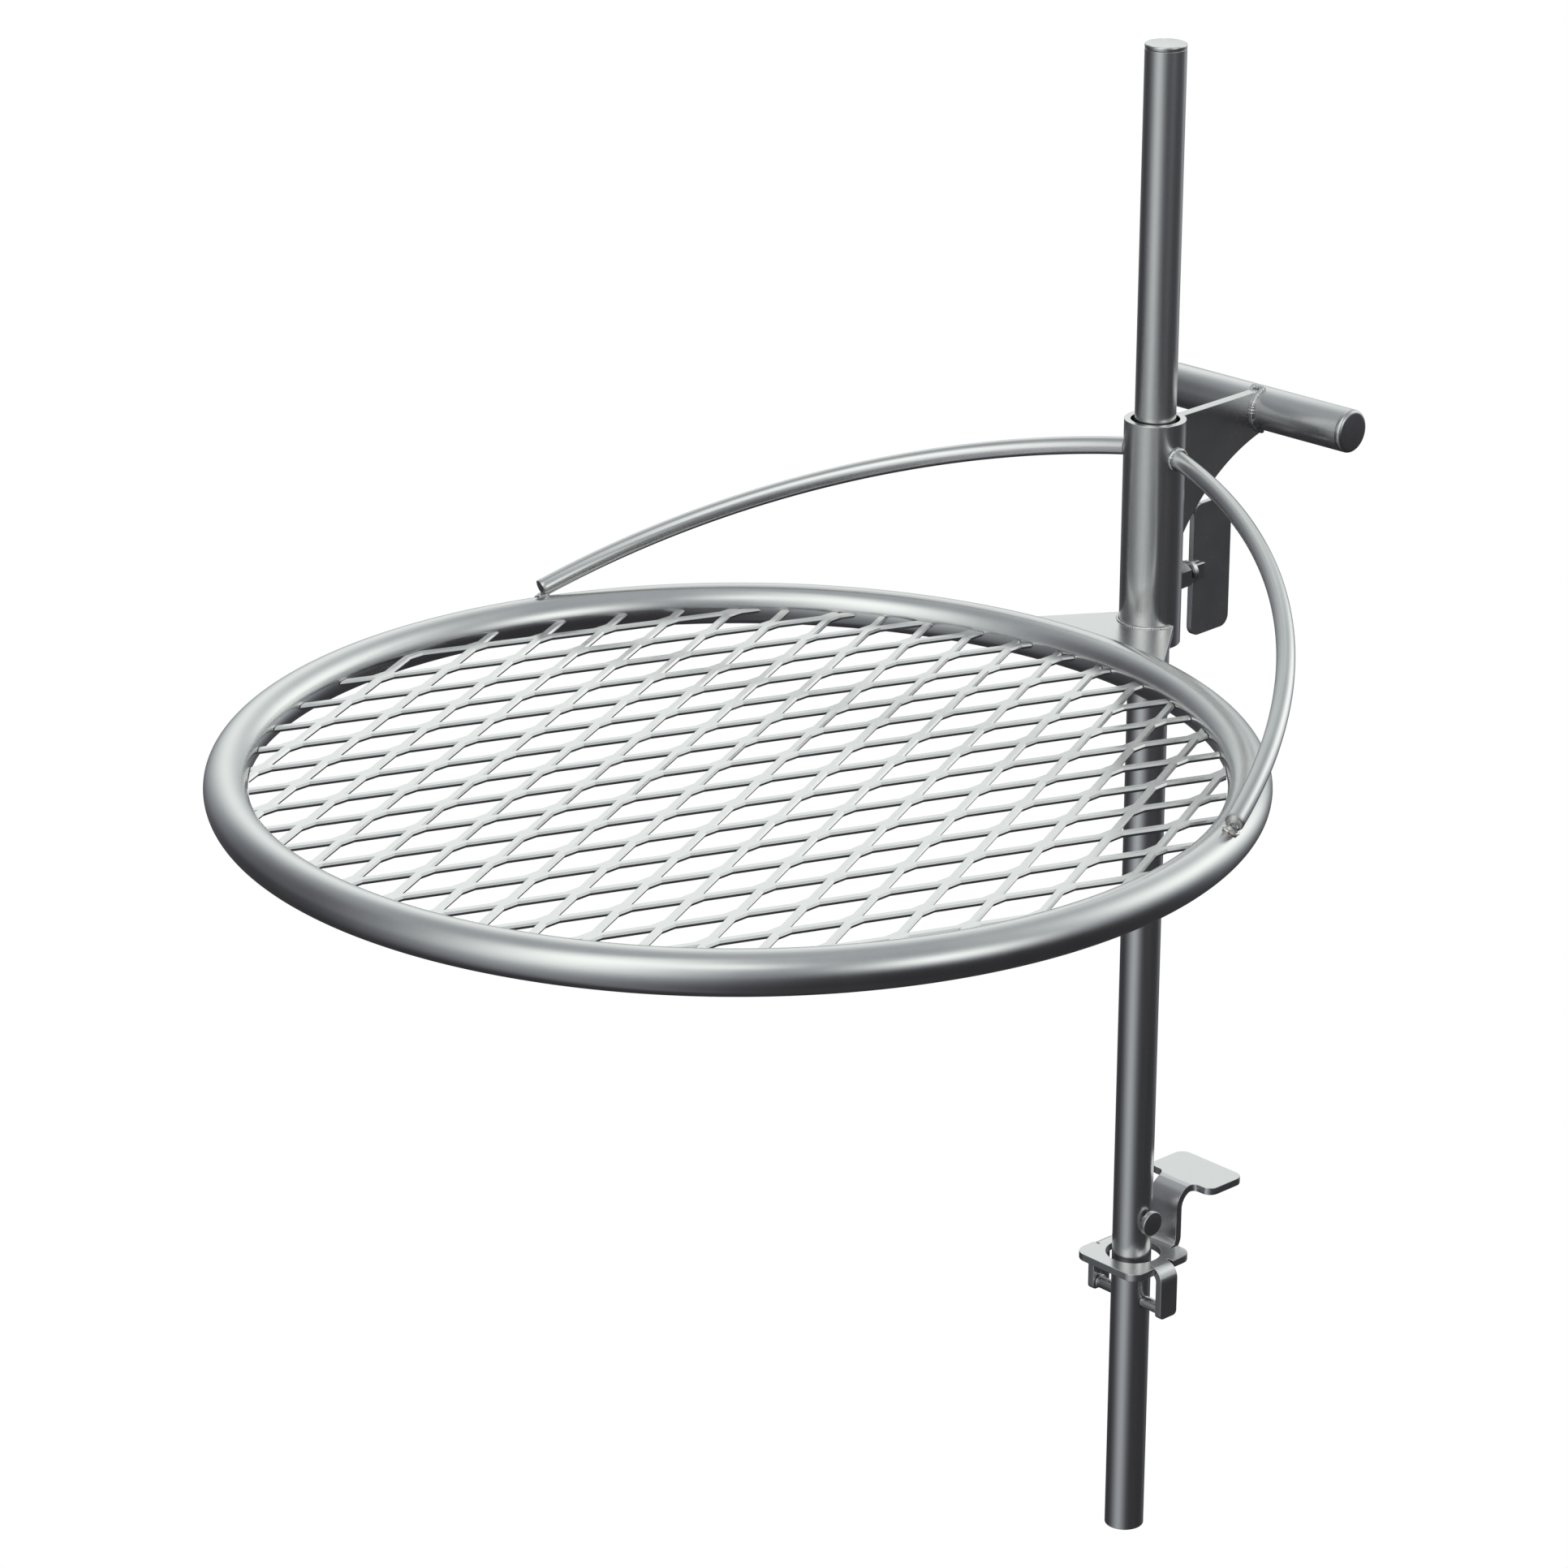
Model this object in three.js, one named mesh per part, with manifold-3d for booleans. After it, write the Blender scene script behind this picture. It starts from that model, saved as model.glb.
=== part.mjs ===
// A swivel cooking grate for a fire pit. A round grate of expanded metal hangs on a sleeve that slides
// and swivels on a tall post, and a folded bracket hooks the post over the rim of the pit.
// Millimetres, +Z up. The origin is the middle of the hook plate's underside, where it rests on the rim,
// and +X points from the hook to the post.
import * as THREE from 'three';
import { mergeVertices } from 'three/addons/utils/BufferGeometryUtils.js';
import Module from 'manifold-3d';

// Fits that all the pieces share
const clearance = 0.3; // between pieces that touch, turn or slide on each other
const overrun = 4; // how far a cut runs past the face that it opens

// Rim bracket, folded from one sheet
const bracketThickness = 5;
const hookLength = 32.4;
const hookWidth = 55;
const hookCornerRadius = 7;
const neckWidth = 25;
const upperBendInnerRadius = 10;
const lowerBendInnerRadius = 5;
const collarDrop = 39.6; // from the hook plate's top to the collar plate's top
const collarLength = 54.6;
const collarWidth = 54.6;
const collarCornerRadius = 9;
const collarSetback = 26.4; // from the neck's front face to the middle of the collar hole
const collarHoleDiameter = 35.5;
const earWidth = 15.2;
const earSpan = 65; // over the ears' outer faces
const earDrop = 35.6; // from the collar plate's top to the ears' lower ends
const earBendInnerRadius = 5;
const earCornerRadius = 3;
const slitWidth = 1; // relief slits beside each fold

// Cross rod that the post tilts on
const rodDiameter = 8;
const rodDrop = 31; // from the collar plate's top to the rod's axis
const rodOffset = 1.6; // from the middle of the collar hole to the rod's axis, along X
const rodWeldLeg = 1.8;

// Post
const postDiameter = 25.4;
const postWall = 2;
const postLength = 990;
const postFootDrop = 165.2; // from the cross rod's axis to the post's lower end
const postCapThickness = 3;
const postCapChamfer = 0.8;

// Stop pin that keeps the sleeve off the bracket
const stopPinDiameter = 8;
const stopPinRise = 57; // from the cross rod's axis to the pin's axis
const stopPinReach = 18.2; // from the post's axis to the outside of the head
const stopHeadDiameter = 16.6;
const stopHeadThickness = 3.5;
const stopHeadChamfer = 0.5;

// Sleeve
const sleeveDiameter = 38.1;
const sleeveBore = 30.1;
const sleeveLength = 143.3;
const sleeveRise = 449.4; // from the cross rod's axis to the sleeve's lower end
const sleeveChamfer = 0.5;
const restSwivel = THREE.MathUtils.degToRad(2.73); // how far the grate is turned from the bracket

// Grate ring, a bent tube whose two ends meet in a butt seam
const ringDiameter = 609.6;
const ringTubeDiameter = 25.4;
const ringTubeWall = 2;
const ringRise = 11.2; // from the sleeve's lower end to the ring's middle plane
const ringSeamGap = 0.4;
const ringSeamAngle = THREE.MathUtils.degToRad(45);

// Grille of expanded metal
const gridPitchLong = 76.2;
const gridPitchShort = 33;
const gridBondLength = 10.2;
const gridStrandWidth = 4.3; // measured across the short pitch
const gridThickness = 3;
const gridTopRise = 1; // from the ring's middle plane to the grille's top
const gridShift = 1.4; // of the middle opening along Y

// Web plate between the sleeve and the ring
const webThickness = 6.4;
const webReach = 34.95; // from the sleeve's wall to the ring's outside, along the middle
const webFlare = THREE.MathUtils.degToRad(35.6); // slope of its two edges

// Arch rods, bent to one radius in a sloping plane
const archRodDiameter = 11;
const archRadius = 401.9;
const archRise = 122; // from the sleeve's lower end to the arch plane at the post's axis
const archRootAside = 16.037; // from the middle plane to the rod's axis, level with the post's axis
const archFootTurn = THREE.MathUtils.degToRad(111.018); // round the ring, from its far side
const archFootLean = THREE.MathUtils.degToRad(21.922); // outward, round the ring's tube
const archFootSink = 0.745; // of two full round sections, where the flat-sided rod just meets the ring
const archWeldRadius = 1.5;
const archPadRadius = 6;
const archPadFlatShare = 0.5; // of the pad's radius, for its height

// Gusset and handle
const gussetThickness = 6.3;
const gussetTopDrop = 2.6; // from the sleeve's top
const gussetArcRadius = 127;
const gussetArcReach = 129.4; // from the post's axis to the middle of the arc
const gussetArcDrop = 153; // from the sleeve's top to the middle of the arc
const handleDiameter = 27;
const handleWall = 2.6;
const handleSpan = 145; // over the caps
const handleReach = 101.5; // from the post's axis to the handle's axis
const handleDrop = 15.3; // from the sleeve's top to the handle's axis
const handleCapThickness = 4;
const handleCapRadius = 2.4;
const handleWeldRadius = 1.3;
const handleWeldSweep = THREE.MathUtils.degToRad(80); // to each side of level
const webWeldRadius = 1.1;
const webWeldSweep = THREE.MathUtils.degToRad(86);

// Lock screw with its weld nut and paddle
const lockRise = 36; // from the sleeve's lower end to the screw's axis
const screwDiameter = 10;
const nutHexWidth = 17; // across flats
const screwTipGap = 0.8; // from the post to the tip
const nutLength = 9.9;
const screwHeadGap = 5; // from the nut to the head's collar
const screwCollarDiameter = 14.8;
const screwCollarLength = 3;
const screwHeadWidth = 10; // across the square head's flats
const screwHeadLength = 8.2; // of the square alone
const paddleLength = 86;
const paddleWidth = 35.6;
const paddleThickness = 4;
const paddleCornerRadius = 7;

// Number of flat sides and steps
const tubeSides = 40;
const sleeveSides = 48;
const headSides = 24;
const archRodSides = 12;
const padSides = 14;
const padSteps = 8;
const capSteps = 3;
const rodSides = 16;
const beadSides = 6;
const bendSteps = 6;
const ringSteps = 80;
const ringSides = 12;
const ringBoreSteps = 48;
const ringBoreSides = 8;
const archSteps = 26;
const archSearchStep = THREE.MathUtils.degToRad(0.02);
const beadSteps = 16;
const cornerSteps = 5;

// Sizes and places worked out from the ones above
const postRadius = postDiameter / 2;
const sleeveRadius = sleeveDiameter / 2;
const rodRadius = rodDiameter / 2;
const ringTubeRadius = ringTubeDiameter / 2;
const ringRadius = ringDiameter / 2 - ringTubeRadius;
const archRodRadius = archRodDiameter / 2;
const ringReach = sleeveRadius + webReach + ringDiameter / 2; // from the post's axis to the ring's middle
const handleRadius = handleDiameter / 2;
const screwRadius = screwDiameter / 2;
const upperBendOuterRadius = upperBendInnerRadius + bracketThickness;
const lowerBendOuterRadius = lowerBendInnerRadius + bracketThickness;
const earBendOuterRadius = earBendInnerRadius + bracketThickness;
const neckFront = hookLength / 2 + upperBendOuterRadius;
const collarMiddle = neckFront + collarSetback;
const collarTop = bracketThickness - collarDrop;
const earInner = earSpan / 2 - bracketThickness;
const postX = collarMiddle + rodOffset;
const rodZ = collarTop - rodDrop;
const postFoot = rodZ - postFootDrop;
const postTubeLength = postLength - postCapThickness;
const stopPinZ = rodZ + stopPinRise;
const sleeveFoot = rodZ + sleeveRise;
const sleeveTop = sleeveFoot + sleeveLength;
const ringZ = sleeveFoot + ringRise;
const gridTop = ringZ + gridTopRise;
const webTop = ringZ + webThickness / 2;
const lockZ = sleeveFoot + lockRise;
const handleZ = sleeveTop - handleDrop;
const nutEnd = sleeveRadius + clearance + nutLength;
const screwHeadStart = nutEnd + screwHeadGap;
const screwCollarEnd = screwHeadStart + screwCollarLength;
const screwHeadEnd = screwCollarEnd + screwHeadLength;
const paddleNear = screwCollarEnd + clearance;

const wasm = await Module();
wasm.setup();

// A closed geometry as a solid that can be cut and joined.
function solidOf(geometry) {
  const bare = geometry.clone();
  bare.deleteAttribute('normal');
  bare.deleteAttribute('uv');
  const merged = mergeVertices(bare);
  return new wasm.Manifold(
    new wasm.Mesh({
      numProp: 3,
      vertProperties: new Float32Array(merged.getAttribute('position').array),
      triVerts: new Uint32Array(merged.index.array),
    }),
  );
}

// A solid as a geometry that a mesh can hold.
function geometryOf(solid) {
  const mesh = solid.getMesh();
  const geometry = new THREE.BufferGeometry();
  const stride = mesh.numProp;
  const places = new Float32Array(mesh.numVert * 3);
  for (let i = 0; i < mesh.numVert; i += 1) {
    places.set(mesh.vertProperties.subarray(i * stride, i * stride + 3), i * 3);
  }
  geometry.setAttribute('position', new THREE.BufferAttribute(places, 3));
  geometry.setIndex(new THREE.BufferAttribute(new Uint32Array(mesh.triVerts), 1));
  geometry.computeVertexNormals();
  return geometry;
}

const join = (...solids) => solids.reduce((whole, next) => whole.add(next));
const cut = (body, ...tools) => tools.reduce((left, tool) => left.subtract(tool), body);

// A turned solid round the Z axis from a closed outline of [radius, height] points.
function turned(outline, sides) {
  const points = [...outline, outline[0]].map(([radius, height]) => new THREE.Vector2(radius, height));
  return solidOf(new THREE.LatheGeometry(points, sides).rotateX(Math.PI / 2));
}

// A round bar up the Z axis between two heights, with chamfered ends where asked.
function bar(radius, low, high, sides, lowChamfer = 0, highChamfer = 0) {
  const outline = [[0, low]];
  if (lowChamfer > 0) outline.push([radius - lowChamfer, low]);
  outline.push([radius, low + lowChamfer], [radius, high - highChamfer]);
  if (highChamfer > 0) outline.push([radius - highChamfer, high]);
  outline.push([0, high]);
  return turned(outline, sides);
}

// A round tube up the Z axis between two heights.
function pipe(outerRadius, innerRadius, low, high, sides, chamfer = 0) {
  const outline = [[innerRadius, low]];
  if (chamfer > 0) outline.push([outerRadius - chamfer, low]);
  outline.push([outerRadius, low + chamfer], [outerRadius, high - chamfer]);
  if (chamfer > 0) outline.push([outerRadius - chamfer, high]);
  outline.push([innerRadius, high]);
  return turned(outline, sides);
}

// A solid turned so that its Z axis lies along Y or X.
const alongY = (solid) => solid.rotate([-90, 0, 0]);
const alongX = (solid) => solid.rotate([0, 90, 0]);

// A block between two corners.
function block(low, high) {
  const size = high.map((value, axis) => value - low[axis]);
  const middle = high.map((value, axis) => (value + low[axis]) / 2);
  return solidOf(new THREE.BoxGeometry(...size).translate(...middle));
}

// A rounded rectangle as a flat outline.
function roundedOutline(left, right, low, high, radius) {
  const outline = new THREE.Shape();
  outline.moveTo(left + radius, low);
  outline.lineTo(right - radius, low);
  outline.absarc(right - radius, low + radius, radius, -Math.PI / 2, 0);
  outline.lineTo(right, high - radius);
  outline.absarc(right - radius, high - radius, radius, 0, Math.PI / 2);
  outline.lineTo(left + radius, high);
  outline.absarc(left + radius, high - radius, radius, Math.PI / 2, Math.PI);
  outline.lineTo(left, low + radius);
  outline.absarc(left + radius, low + radius, radius, Math.PI, 1.5 * Math.PI);
  return outline;
}

// A plate that lies flat: an outline in X and Y, from the height low.
function flatPlate(outline, low, thickness, steps = cornerSteps) {
  const settings = { depth: thickness, bevelEnabled: false, curveSegments: steps };
  return solidOf(new THREE.ExtrudeGeometry(outline, settings).translate(0, 0, low));
}

// A plate that stands on edge: an outline in X and Z, as thick as asked on both sides of Y = middle.
function uprightPlate(outline, middle, thickness, steps = cornerSteps) {
  const settings = { depth: thickness, bevelEnabled: false, curveSegments: steps };
  const geometry = new THREE.ExtrudeGeometry(outline, settings).translate(0, 0, -thickness / 2);
  return solidOf(geometry.rotateX(Math.PI / 2).translate(0, middle, 0));
}

// A quarter of a fold as an outline: round a centre, from one angle to another.
function foldOutline(centreX, centreY, innerRadius, outerRadius, from, to) {
  const outline = new THREE.Shape();
  outline.moveTo(centreX + innerRadius * Math.cos(from), centreY + innerRadius * Math.sin(from));
  outline.lineTo(centreX + outerRadius * Math.cos(from), centreY + outerRadius * Math.sin(from));
  outline.absarc(centreX, centreY, outerRadius, from, to, to < from);
  outline.lineTo(centreX + innerRadius * Math.cos(to), centreY + innerRadius * Math.sin(to));
  outline.absarc(centreX, centreY, innerRadius, to, from, from < to);
  return outline;
}

// A round bead or rod along a curve.
function rodAlong(path, radius, sides, steps) {
  const section = new THREE.Shape();
  for (let i = 0; i < sides; i += 1) {
    const angle = (2 * Math.PI * i) / sides;
    const place = [radius * Math.cos(angle), radius * Math.sin(angle)];
    if (i === 0) section.moveTo(...place);
    else section.lineTo(...place);
  }
  section.closePath();
  return solidOf(new THREE.ExtrudeGeometry(section, { steps, bevelEnabled: false, extrudePath: path }));
}

// An arc of a circle in space: a centre, two directions, a radius and two angles.
class ArcPath extends THREE.Curve {
  constructor(centre, across, up, radius, from, to) {
    super();
    Object.assign(this, { centre, across, up, radius, from, to });
  }
  getPoint(share) {
    const angle = this.from + (this.to - this.from) * share;
    return this.centre
      .clone()
      .addScaledVector(this.across, this.radius * Math.cos(angle))
      .addScaledVector(this.up, this.radius * Math.sin(angle));
  }
}

const xAxis = new THREE.Vector3(1, 0, 0);
const yAxis = new THREE.Vector3(0, 1, 0);
const zAxis = new THREE.Vector3(0, 0, 1);

const satin = { color: 0xa9adb0, roughness: 0.42, metalness: 1 };
const dull = { color: 0x8d9194, roughness: 0.5, metalness: 1 };
const welded = { color: 0xb9b6ae, roughness: 0.35, metalness: 1 };
const bright = { color: 0xc4c7c9, roughness: 0.3, metalness: 1 };

function piece(name, solid, look) {
  const mesh = new THREE.Mesh(geometryOf(solid), new THREE.MeshStandardMaterial(look));
  mesh.name = name;
  return mesh;
}

// The fold from the hook plate down to the neck and out to the collar, seen from the side.
function neckSolid() {
  const upper = foldOutline(
    hookLength / 2,
    bracketThickness - upperBendOuterRadius,
    upperBendInnerRadius,
    upperBendOuterRadius,
    Math.PI / 2,
    0,
  );
  const lower = foldOutline(
    neckFront + lowerBendInnerRadius,
    collarTop + lowerBendInnerRadius,
    lowerBendInnerRadius,
    lowerBendOuterRadius,
    Math.PI,
    1.5 * Math.PI,
  );
  const standing = block(
    [neckFront - bracketThickness, -neckWidth / 2, collarTop + lowerBendInnerRadius],
    [neckFront, neckWidth / 2, bracketThickness - upperBendOuterRadius],
  );
  return join(
    uprightPlate(upper, 0, neckWidth, bendSteps),
    standing,
    uprightPlate(lower, 0, neckWidth, bendSteps),
  );
}

// One ear, folded down from the collar plate's edge on the +Y side.
function earSolid() {
  const bendY = earSpan / 2 - earBendOuterRadius;
  const bendZ = collarTop - earBendOuterRadius;
  const fold = foldOutline(bendY, bendZ, earBendInnerRadius, earBendOuterRadius, 0, Math.PI / 2);
  const settings = { depth: earWidth, bevelEnabled: false, curveSegments: bendSteps };
  const bend = new THREE.ExtrudeGeometry(fold, settings).translate(0, 0, -earWidth / 2);
  bend.rotateX(Math.PI / 2).rotateZ(Math.PI / 2).translate(collarMiddle, 0, 0);
  const low = collarTop - earDrop;
  const flat = roundedOutline(
    collarMiddle - earWidth / 2,
    collarMiddle + earWidth / 2,
    low,
    bendZ + earCornerRadius,
    earCornerRadius,
  );
  const square = block(
    [collarMiddle - earWidth / 2, earInner, bendZ - earCornerRadius],
    [collarMiddle + earWidth / 2, earSpan / 2, bendZ],
  );
  const blade = uprightPlate(flat, (earInner + earSpan / 2) / 2, bracketThickness);
  const above = block(
    [collarMiddle - earWidth, earInner - overrun, bendZ],
    [collarMiddle + earWidth, earSpan / 2 + overrun, bendZ + earDrop],
  );
  return join(solidOf(bend), square, cut(blade, above));
}

function rimBracket() {
  const hook = flatPlate(
    roundedOutline(-hookLength / 2, hookLength / 2, -hookWidth / 2, hookWidth / 2, hookCornerRadius),
    0,
    bracketThickness,
  );
  const collar = flatPlate(
    roundedOutline(
      collarMiddle - collarLength / 2,
      collarMiddle + collarLength / 2,
      -collarWidth / 2,
      collarWidth / 2,
      collarCornerRadius,
    ),
    collarTop - bracketThickness,
    bracketThickness,
  );
  const low = collarTop - bracketThickness - overrun;
  const high = collarTop + overrun;
  const hole = bar(collarHoleDiameter / 2, low, high, tubeSides).translate([collarMiddle, 0, 0]);
  const neckRelief = block(
    [collarMiddle - collarLength, -neckWidth / 2 - slitWidth, low],
    [neckFront + lowerBendInnerRadius, neckWidth / 2 + slitWidth, high],
  );
  const earRelief = (side) => {
    const near = earSpan / 2 - earBendOuterRadius;
    const edges = [side * near, side * collarWidth].sort((a, b) => a - b);
    return block(
      [collarMiddle - earWidth / 2 - slitWidth, edges[0], low],
      [collarMiddle + earWidth / 2 + slitWidth, edges[1], high],
    );
  };
  const ear = earSolid();
  const collarCut = cut(collar, hole, neckRelief, earRelief(1), earRelief(-1));
  return join(hook, neckSolid(), collarCut, ear, ear.mirror([0, 1, 0]));
}

function crossRod() {
  const half = earInner - clearance;
  return alongY(bar(rodRadius, -half, half, rodSides)).translate([postX, 0, rodZ]);
}

// A weld fillet round the rod's end, against the ear's inner face.
function rodWeld(side) {
  const wall = earInner - clearance;
  const inner = rodRadius + clearance;
  const fillet = turned(
    [
      [inner, wall - rodWeldLeg],
      [inner + rodWeldLeg, wall],
      [inner, wall],
    ],
    rodSides,
  );
  const placed = alongY(fillet);
  const sided = side > 0 ? placed : placed.mirror([0, 1, 0]);
  const floor = block(
    [-earWidth, -earSpan, -rodRadius - rodWeldLeg * 2],
    [earWidth, earSpan, -rodRadius - clearance],
  );
  return cut(sided, floor).translate([postX, 0, rodZ]);
}

function postTube() {
  const tube = pipe(postRadius, postRadius - postWall, postFoot, postFoot + postTubeLength, tubeSides);
  const half = postRadius + overrun;
  const rodHole = alongY(bar(rodRadius + clearance, -half, half, rodSides));
  const pinHole = alongY(bar(stopPinDiameter / 2 + clearance, -half, half, rodSides));
  return cut(tube, rodHole.translate([0, 0, rodZ]), pinHole.translate([0, 0, stopPinZ]));
}

function postCap() {
  const low = postFoot + postTubeLength;
  return bar(postRadius, low, low + postCapThickness, tubeSides, 0, postCapChamfer);
}

// The pin has its head on the +Y side and ends flush with the post on the other side.
function stopPin() {
  const outer = stopPinReach;
  const radius = stopPinDiameter / 2;
  const head = bar(stopHeadDiameter / 2, outer - stopHeadThickness, outer, headSides, 0, stopHeadChamfer);
  const shank = bar(radius, -postRadius, outer - stopHeadThickness / 2, rodSides);
  return alongY(join(head, shank)).translate([0, 0, stopPinZ]);
}

function sleeve() {
  const body = pipe(sleeveRadius, sleeveBore / 2, sleeveFoot, sleeveTop, sleeveSides, sleeveChamfer);
  const hole = alongX(bar(screwRadius + clearance, -sleeveDiameter, 0, rodSides));
  return cut(body, hole.translate([0, 0, lockZ]));
}

function ringTube() {
  const outer = solidOf(new THREE.TorusGeometry(ringRadius, ringTubeRadius, ringSides, ringSteps));
  const boreRadius = ringTubeRadius - ringTubeWall;
  const bore = solidOf(new THREE.TorusGeometry(ringRadius, boreRadius, ringBoreSides, ringBoreSteps));
  const seam = block(
    [ringRadius - ringTubeDiameter, -ringSeamGap / 2, -ringTubeDiameter],
    [ringRadius + ringTubeDiameter, ringSeamGap / 2, ringTubeDiameter],
  ).rotate([0, 0, THREE.MathUtils.radToDeg(ringSeamAngle)]);
  return cut(outer, bore, seam).translate([ringReach, 0, ringZ]);
}

// One opening of the grille, a long six-sided hole with its middle at the origin.
function gridOpening() {
  const tip = (gridPitchLong - gridBondLength) / 2;
  const flat = gridBondLength / 2;
  const rise = gridPitchShort / 2 - gridStrandWidth;
  const outline = new THREE.Shape();
  outline.moveTo(-tip, 0);
  outline.lineTo(-flat, -rise);
  outline.lineTo(flat, -rise);
  outline.lineTo(tip, 0);
  outline.lineTo(flat, rise);
  outline.lineTo(-flat, rise);
  outline.closePath();
  return flatPlate(outline, -gridThickness - overrun, gridThickness + 2 * overrun);
}

// The grille: a disc with the pattern of openings cut through it. Strand ends that the round edge
// cuts loose are left out.
function grille() {
  const radius = ringRadius - ringTubeRadius - clearance;
  const opening = gridOpening();
  const rows = Math.ceil(radius / gridPitchShort) + 1;
  const columns = Math.ceil(radius / gridPitchLong) + 1;
  const openings = [];
  for (let column = -2 * columns; column <= 2 * columns; column += 1) {
    const odd = Math.abs(column % 2);
    for (let row = -rows; row <= rows; row += 1) {
      const x = (column * gridPitchLong) / 2;
      const y = (row + odd / 2) * gridPitchShort + gridShift;
      if (Math.hypot(x, y) < radius + gridPitchLong) openings.push(opening.translate([x, y, 0]));
    }
  }
  const disc = bar(radius, -gridThickness, 0, ringSteps);
  const pieces = disc.subtract(wasm.Manifold.union(openings)).decompose();
  const largest = pieces.reduce((best, next) => (next.volume() > best.volume() ? next : best));
  return largest.translate([ringReach, 0, gridTop]);
}

function webPlate() {
  const reach = ringReach - ringRadius;
  const half = sleeveRadius + reach * Math.tan(webFlare);
  const outline = new THREE.Shape();
  outline.moveTo(0, -sleeveRadius);
  outline.lineTo(reach, -half);
  outline.lineTo(reach, half);
  outline.lineTo(0, sleeveRadius);
  outline.closePath();
  const plate = flatPlate(outline, webTop - webThickness, webThickness);
  const low = webTop - webThickness - overrun;
  const high = webTop + overrun;
  const sleeveCut = bar(sleeveRadius + clearance, low, high, sleeveSides);
  const ringCut = bar(ringDiameter / 2 + clearance, low, high, ringSteps * 2);
  return cut(plate, sleeveCut, ringCut.translate([ringReach, 0, 0]));
}

// A bead round the sleeve's front half, on the web plate's upper or lower face.
function webWeld(side) {
  const height = ringZ + side * (webThickness / 2 + clearance + webWeldRadius);
  const centre = new THREE.Vector3(0, 0, height);
  const radius = sleeveRadius + clearance + webWeldRadius;
  const path = new ArcPath(centre, xAxis, yAxis, radius, -webWeldSweep, webWeldSweep);
  return rodAlong(path, webWeldRadius, beadSides, beadSteps);
}

// The foot of the arch rod's axis, on the crown of the ring.
const archFootGap = ringTubeRadius + archRodRadius - archFootSink;
const archFootRadius = ringRadius + archFootGap * Math.sin(archFootLean);
const archFoot = new THREE.Vector3(
  ringReach + archFootRadius * Math.cos(archFootTurn),
  archFootRadius * Math.sin(archFootTurn),
  ringZ + archFootGap * Math.cos(archFootLean),
);

// The sloping plane of the arch rods goes through the foot and through the rise at the post's axis.
const archSlope = Math.atan2(sleeveFoot + archRise - archFoot.z, archFoot.x);
const archDown = new THREE.Vector3(Math.cos(archSlope), 0, -Math.sin(archSlope));

// The arch's middle in that plane, as a distance down the slope and one to the side. It follows from the
// rod's two ends and its radius.
const archRoot = new THREE.Vector2(0, archRootAside);
const archEnd = new THREE.Vector2(archFoot.x / Math.cos(archSlope), archFoot.y);
const archChord = archEnd.clone().sub(archRoot);
const archDepth = Math.sqrt(archRadius ** 2 - archChord.lengthSq() / 4);
const archMiddle = archRoot
  .clone()
  .addScaledVector(archChord, 1 / 2)
  .addScaledVector(new THREE.Vector2(archChord.y, -archChord.x).normalize(), archDepth);
const archEndAngle = Math.atan2(archEnd.y - archMiddle.y, archEnd.x - archMiddle.x);
const archCentre = new THREE.Vector3(0, archMiddle.y, sleeveFoot + archRise).addScaledVector(
  archDown,
  archMiddle.x,
);

// Where the arch rod's axis comes out of the sleeve, as an angle round the arch's centre.
function archRootAngle() {
  let angle = Math.PI;
  const place = new THREE.Vector3();
  const step = archSearchStep;
  do {
    angle -= step;
    place
      .copy(archCentre)
      .addScaledVector(archDown, archRadius * Math.cos(angle))
      .addScaledVector(yAxis, archRadius * Math.sin(angle));
  } while (place.y < 0 || Math.hypot(place.x, place.y) < sleeveRadius);
  return angle;
}
const archStartAngle = archRootAngle();

function archPath(from, to) {
  return new ArcPath(archCentre, archDown, yAxis, archRadius, from, to);
}

const sleeveCutter = () => bar(sleeveRadius + clearance, sleeveFoot, sleeveTop, sleeveSides);

function archRod() {
  const rootAngle = archStartAngle + archRodRadius / archRadius;
  const rod = rodAlong(archPath(rootAngle, archEndAngle), archRodRadius, archRodSides, archSteps);
  return cut(rod, sleeveCutter());
}

// A bead round the arch rod where it leaves the sleeve.
function archRootWeld() {
  const path = archPath(archStartAngle, archEndAngle);
  const place = path.getPoint(0);
  const along = path.getTangent(0);
  const ring = new THREE.TorusGeometry(
    archRodRadius + clearance + archWeldRadius,
    archWeldRadius,
    beadSides,
    beadSteps,
  );
  ring.applyQuaternion(new THREE.Quaternion().setFromUnitVectors(zAxis, along));
  ring.translate(...place.addScaledVector(along, archWeldRadius).toArray());
  return cut(solidOf(ring), sleeveCutter());
}

// A small pad of weld under the arch rod's end, on the ring's crown.
function archEndWeld() {
  const place = archPath(archStartAngle, archEndAngle).getPoint(1);
  const middle = new THREE.Vector3(ringReach, 0, ringZ);
  const outward = place.clone().sub(middle).setZ(0).normalize();
  const core = middle.clone().addScaledVector(outward, ringRadius);
  const towards = place.clone().sub(core).normalize();
  const contact = core.clone().addScaledVector(towards, ringTubeRadius);
  const pad = new THREE.SphereGeometry(archPadRadius, padSides, padSteps).scale(1, 1, archPadFlatShare);
  pad.applyQuaternion(new THREE.Quaternion().setFromUnitVectors(zAxis, towards));
  pad.translate(...contact.toArray());
  const shell = ringTubeRadius + clearance;
  const ring = solidOf(new THREE.TorusGeometry(ringRadius, shell, ringSides * 2, ringSteps * 2));
  const past = archEndAngle - (archPadRadius * 2) / archRadius;
  const rod = rodAlong(archPath(archStartAngle, past), archRodRadius + clearance, archRodSides, archSteps);
  return cut(solidOf(pad), ring.translate([ringReach, 0, ringZ]), rod);
}

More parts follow.
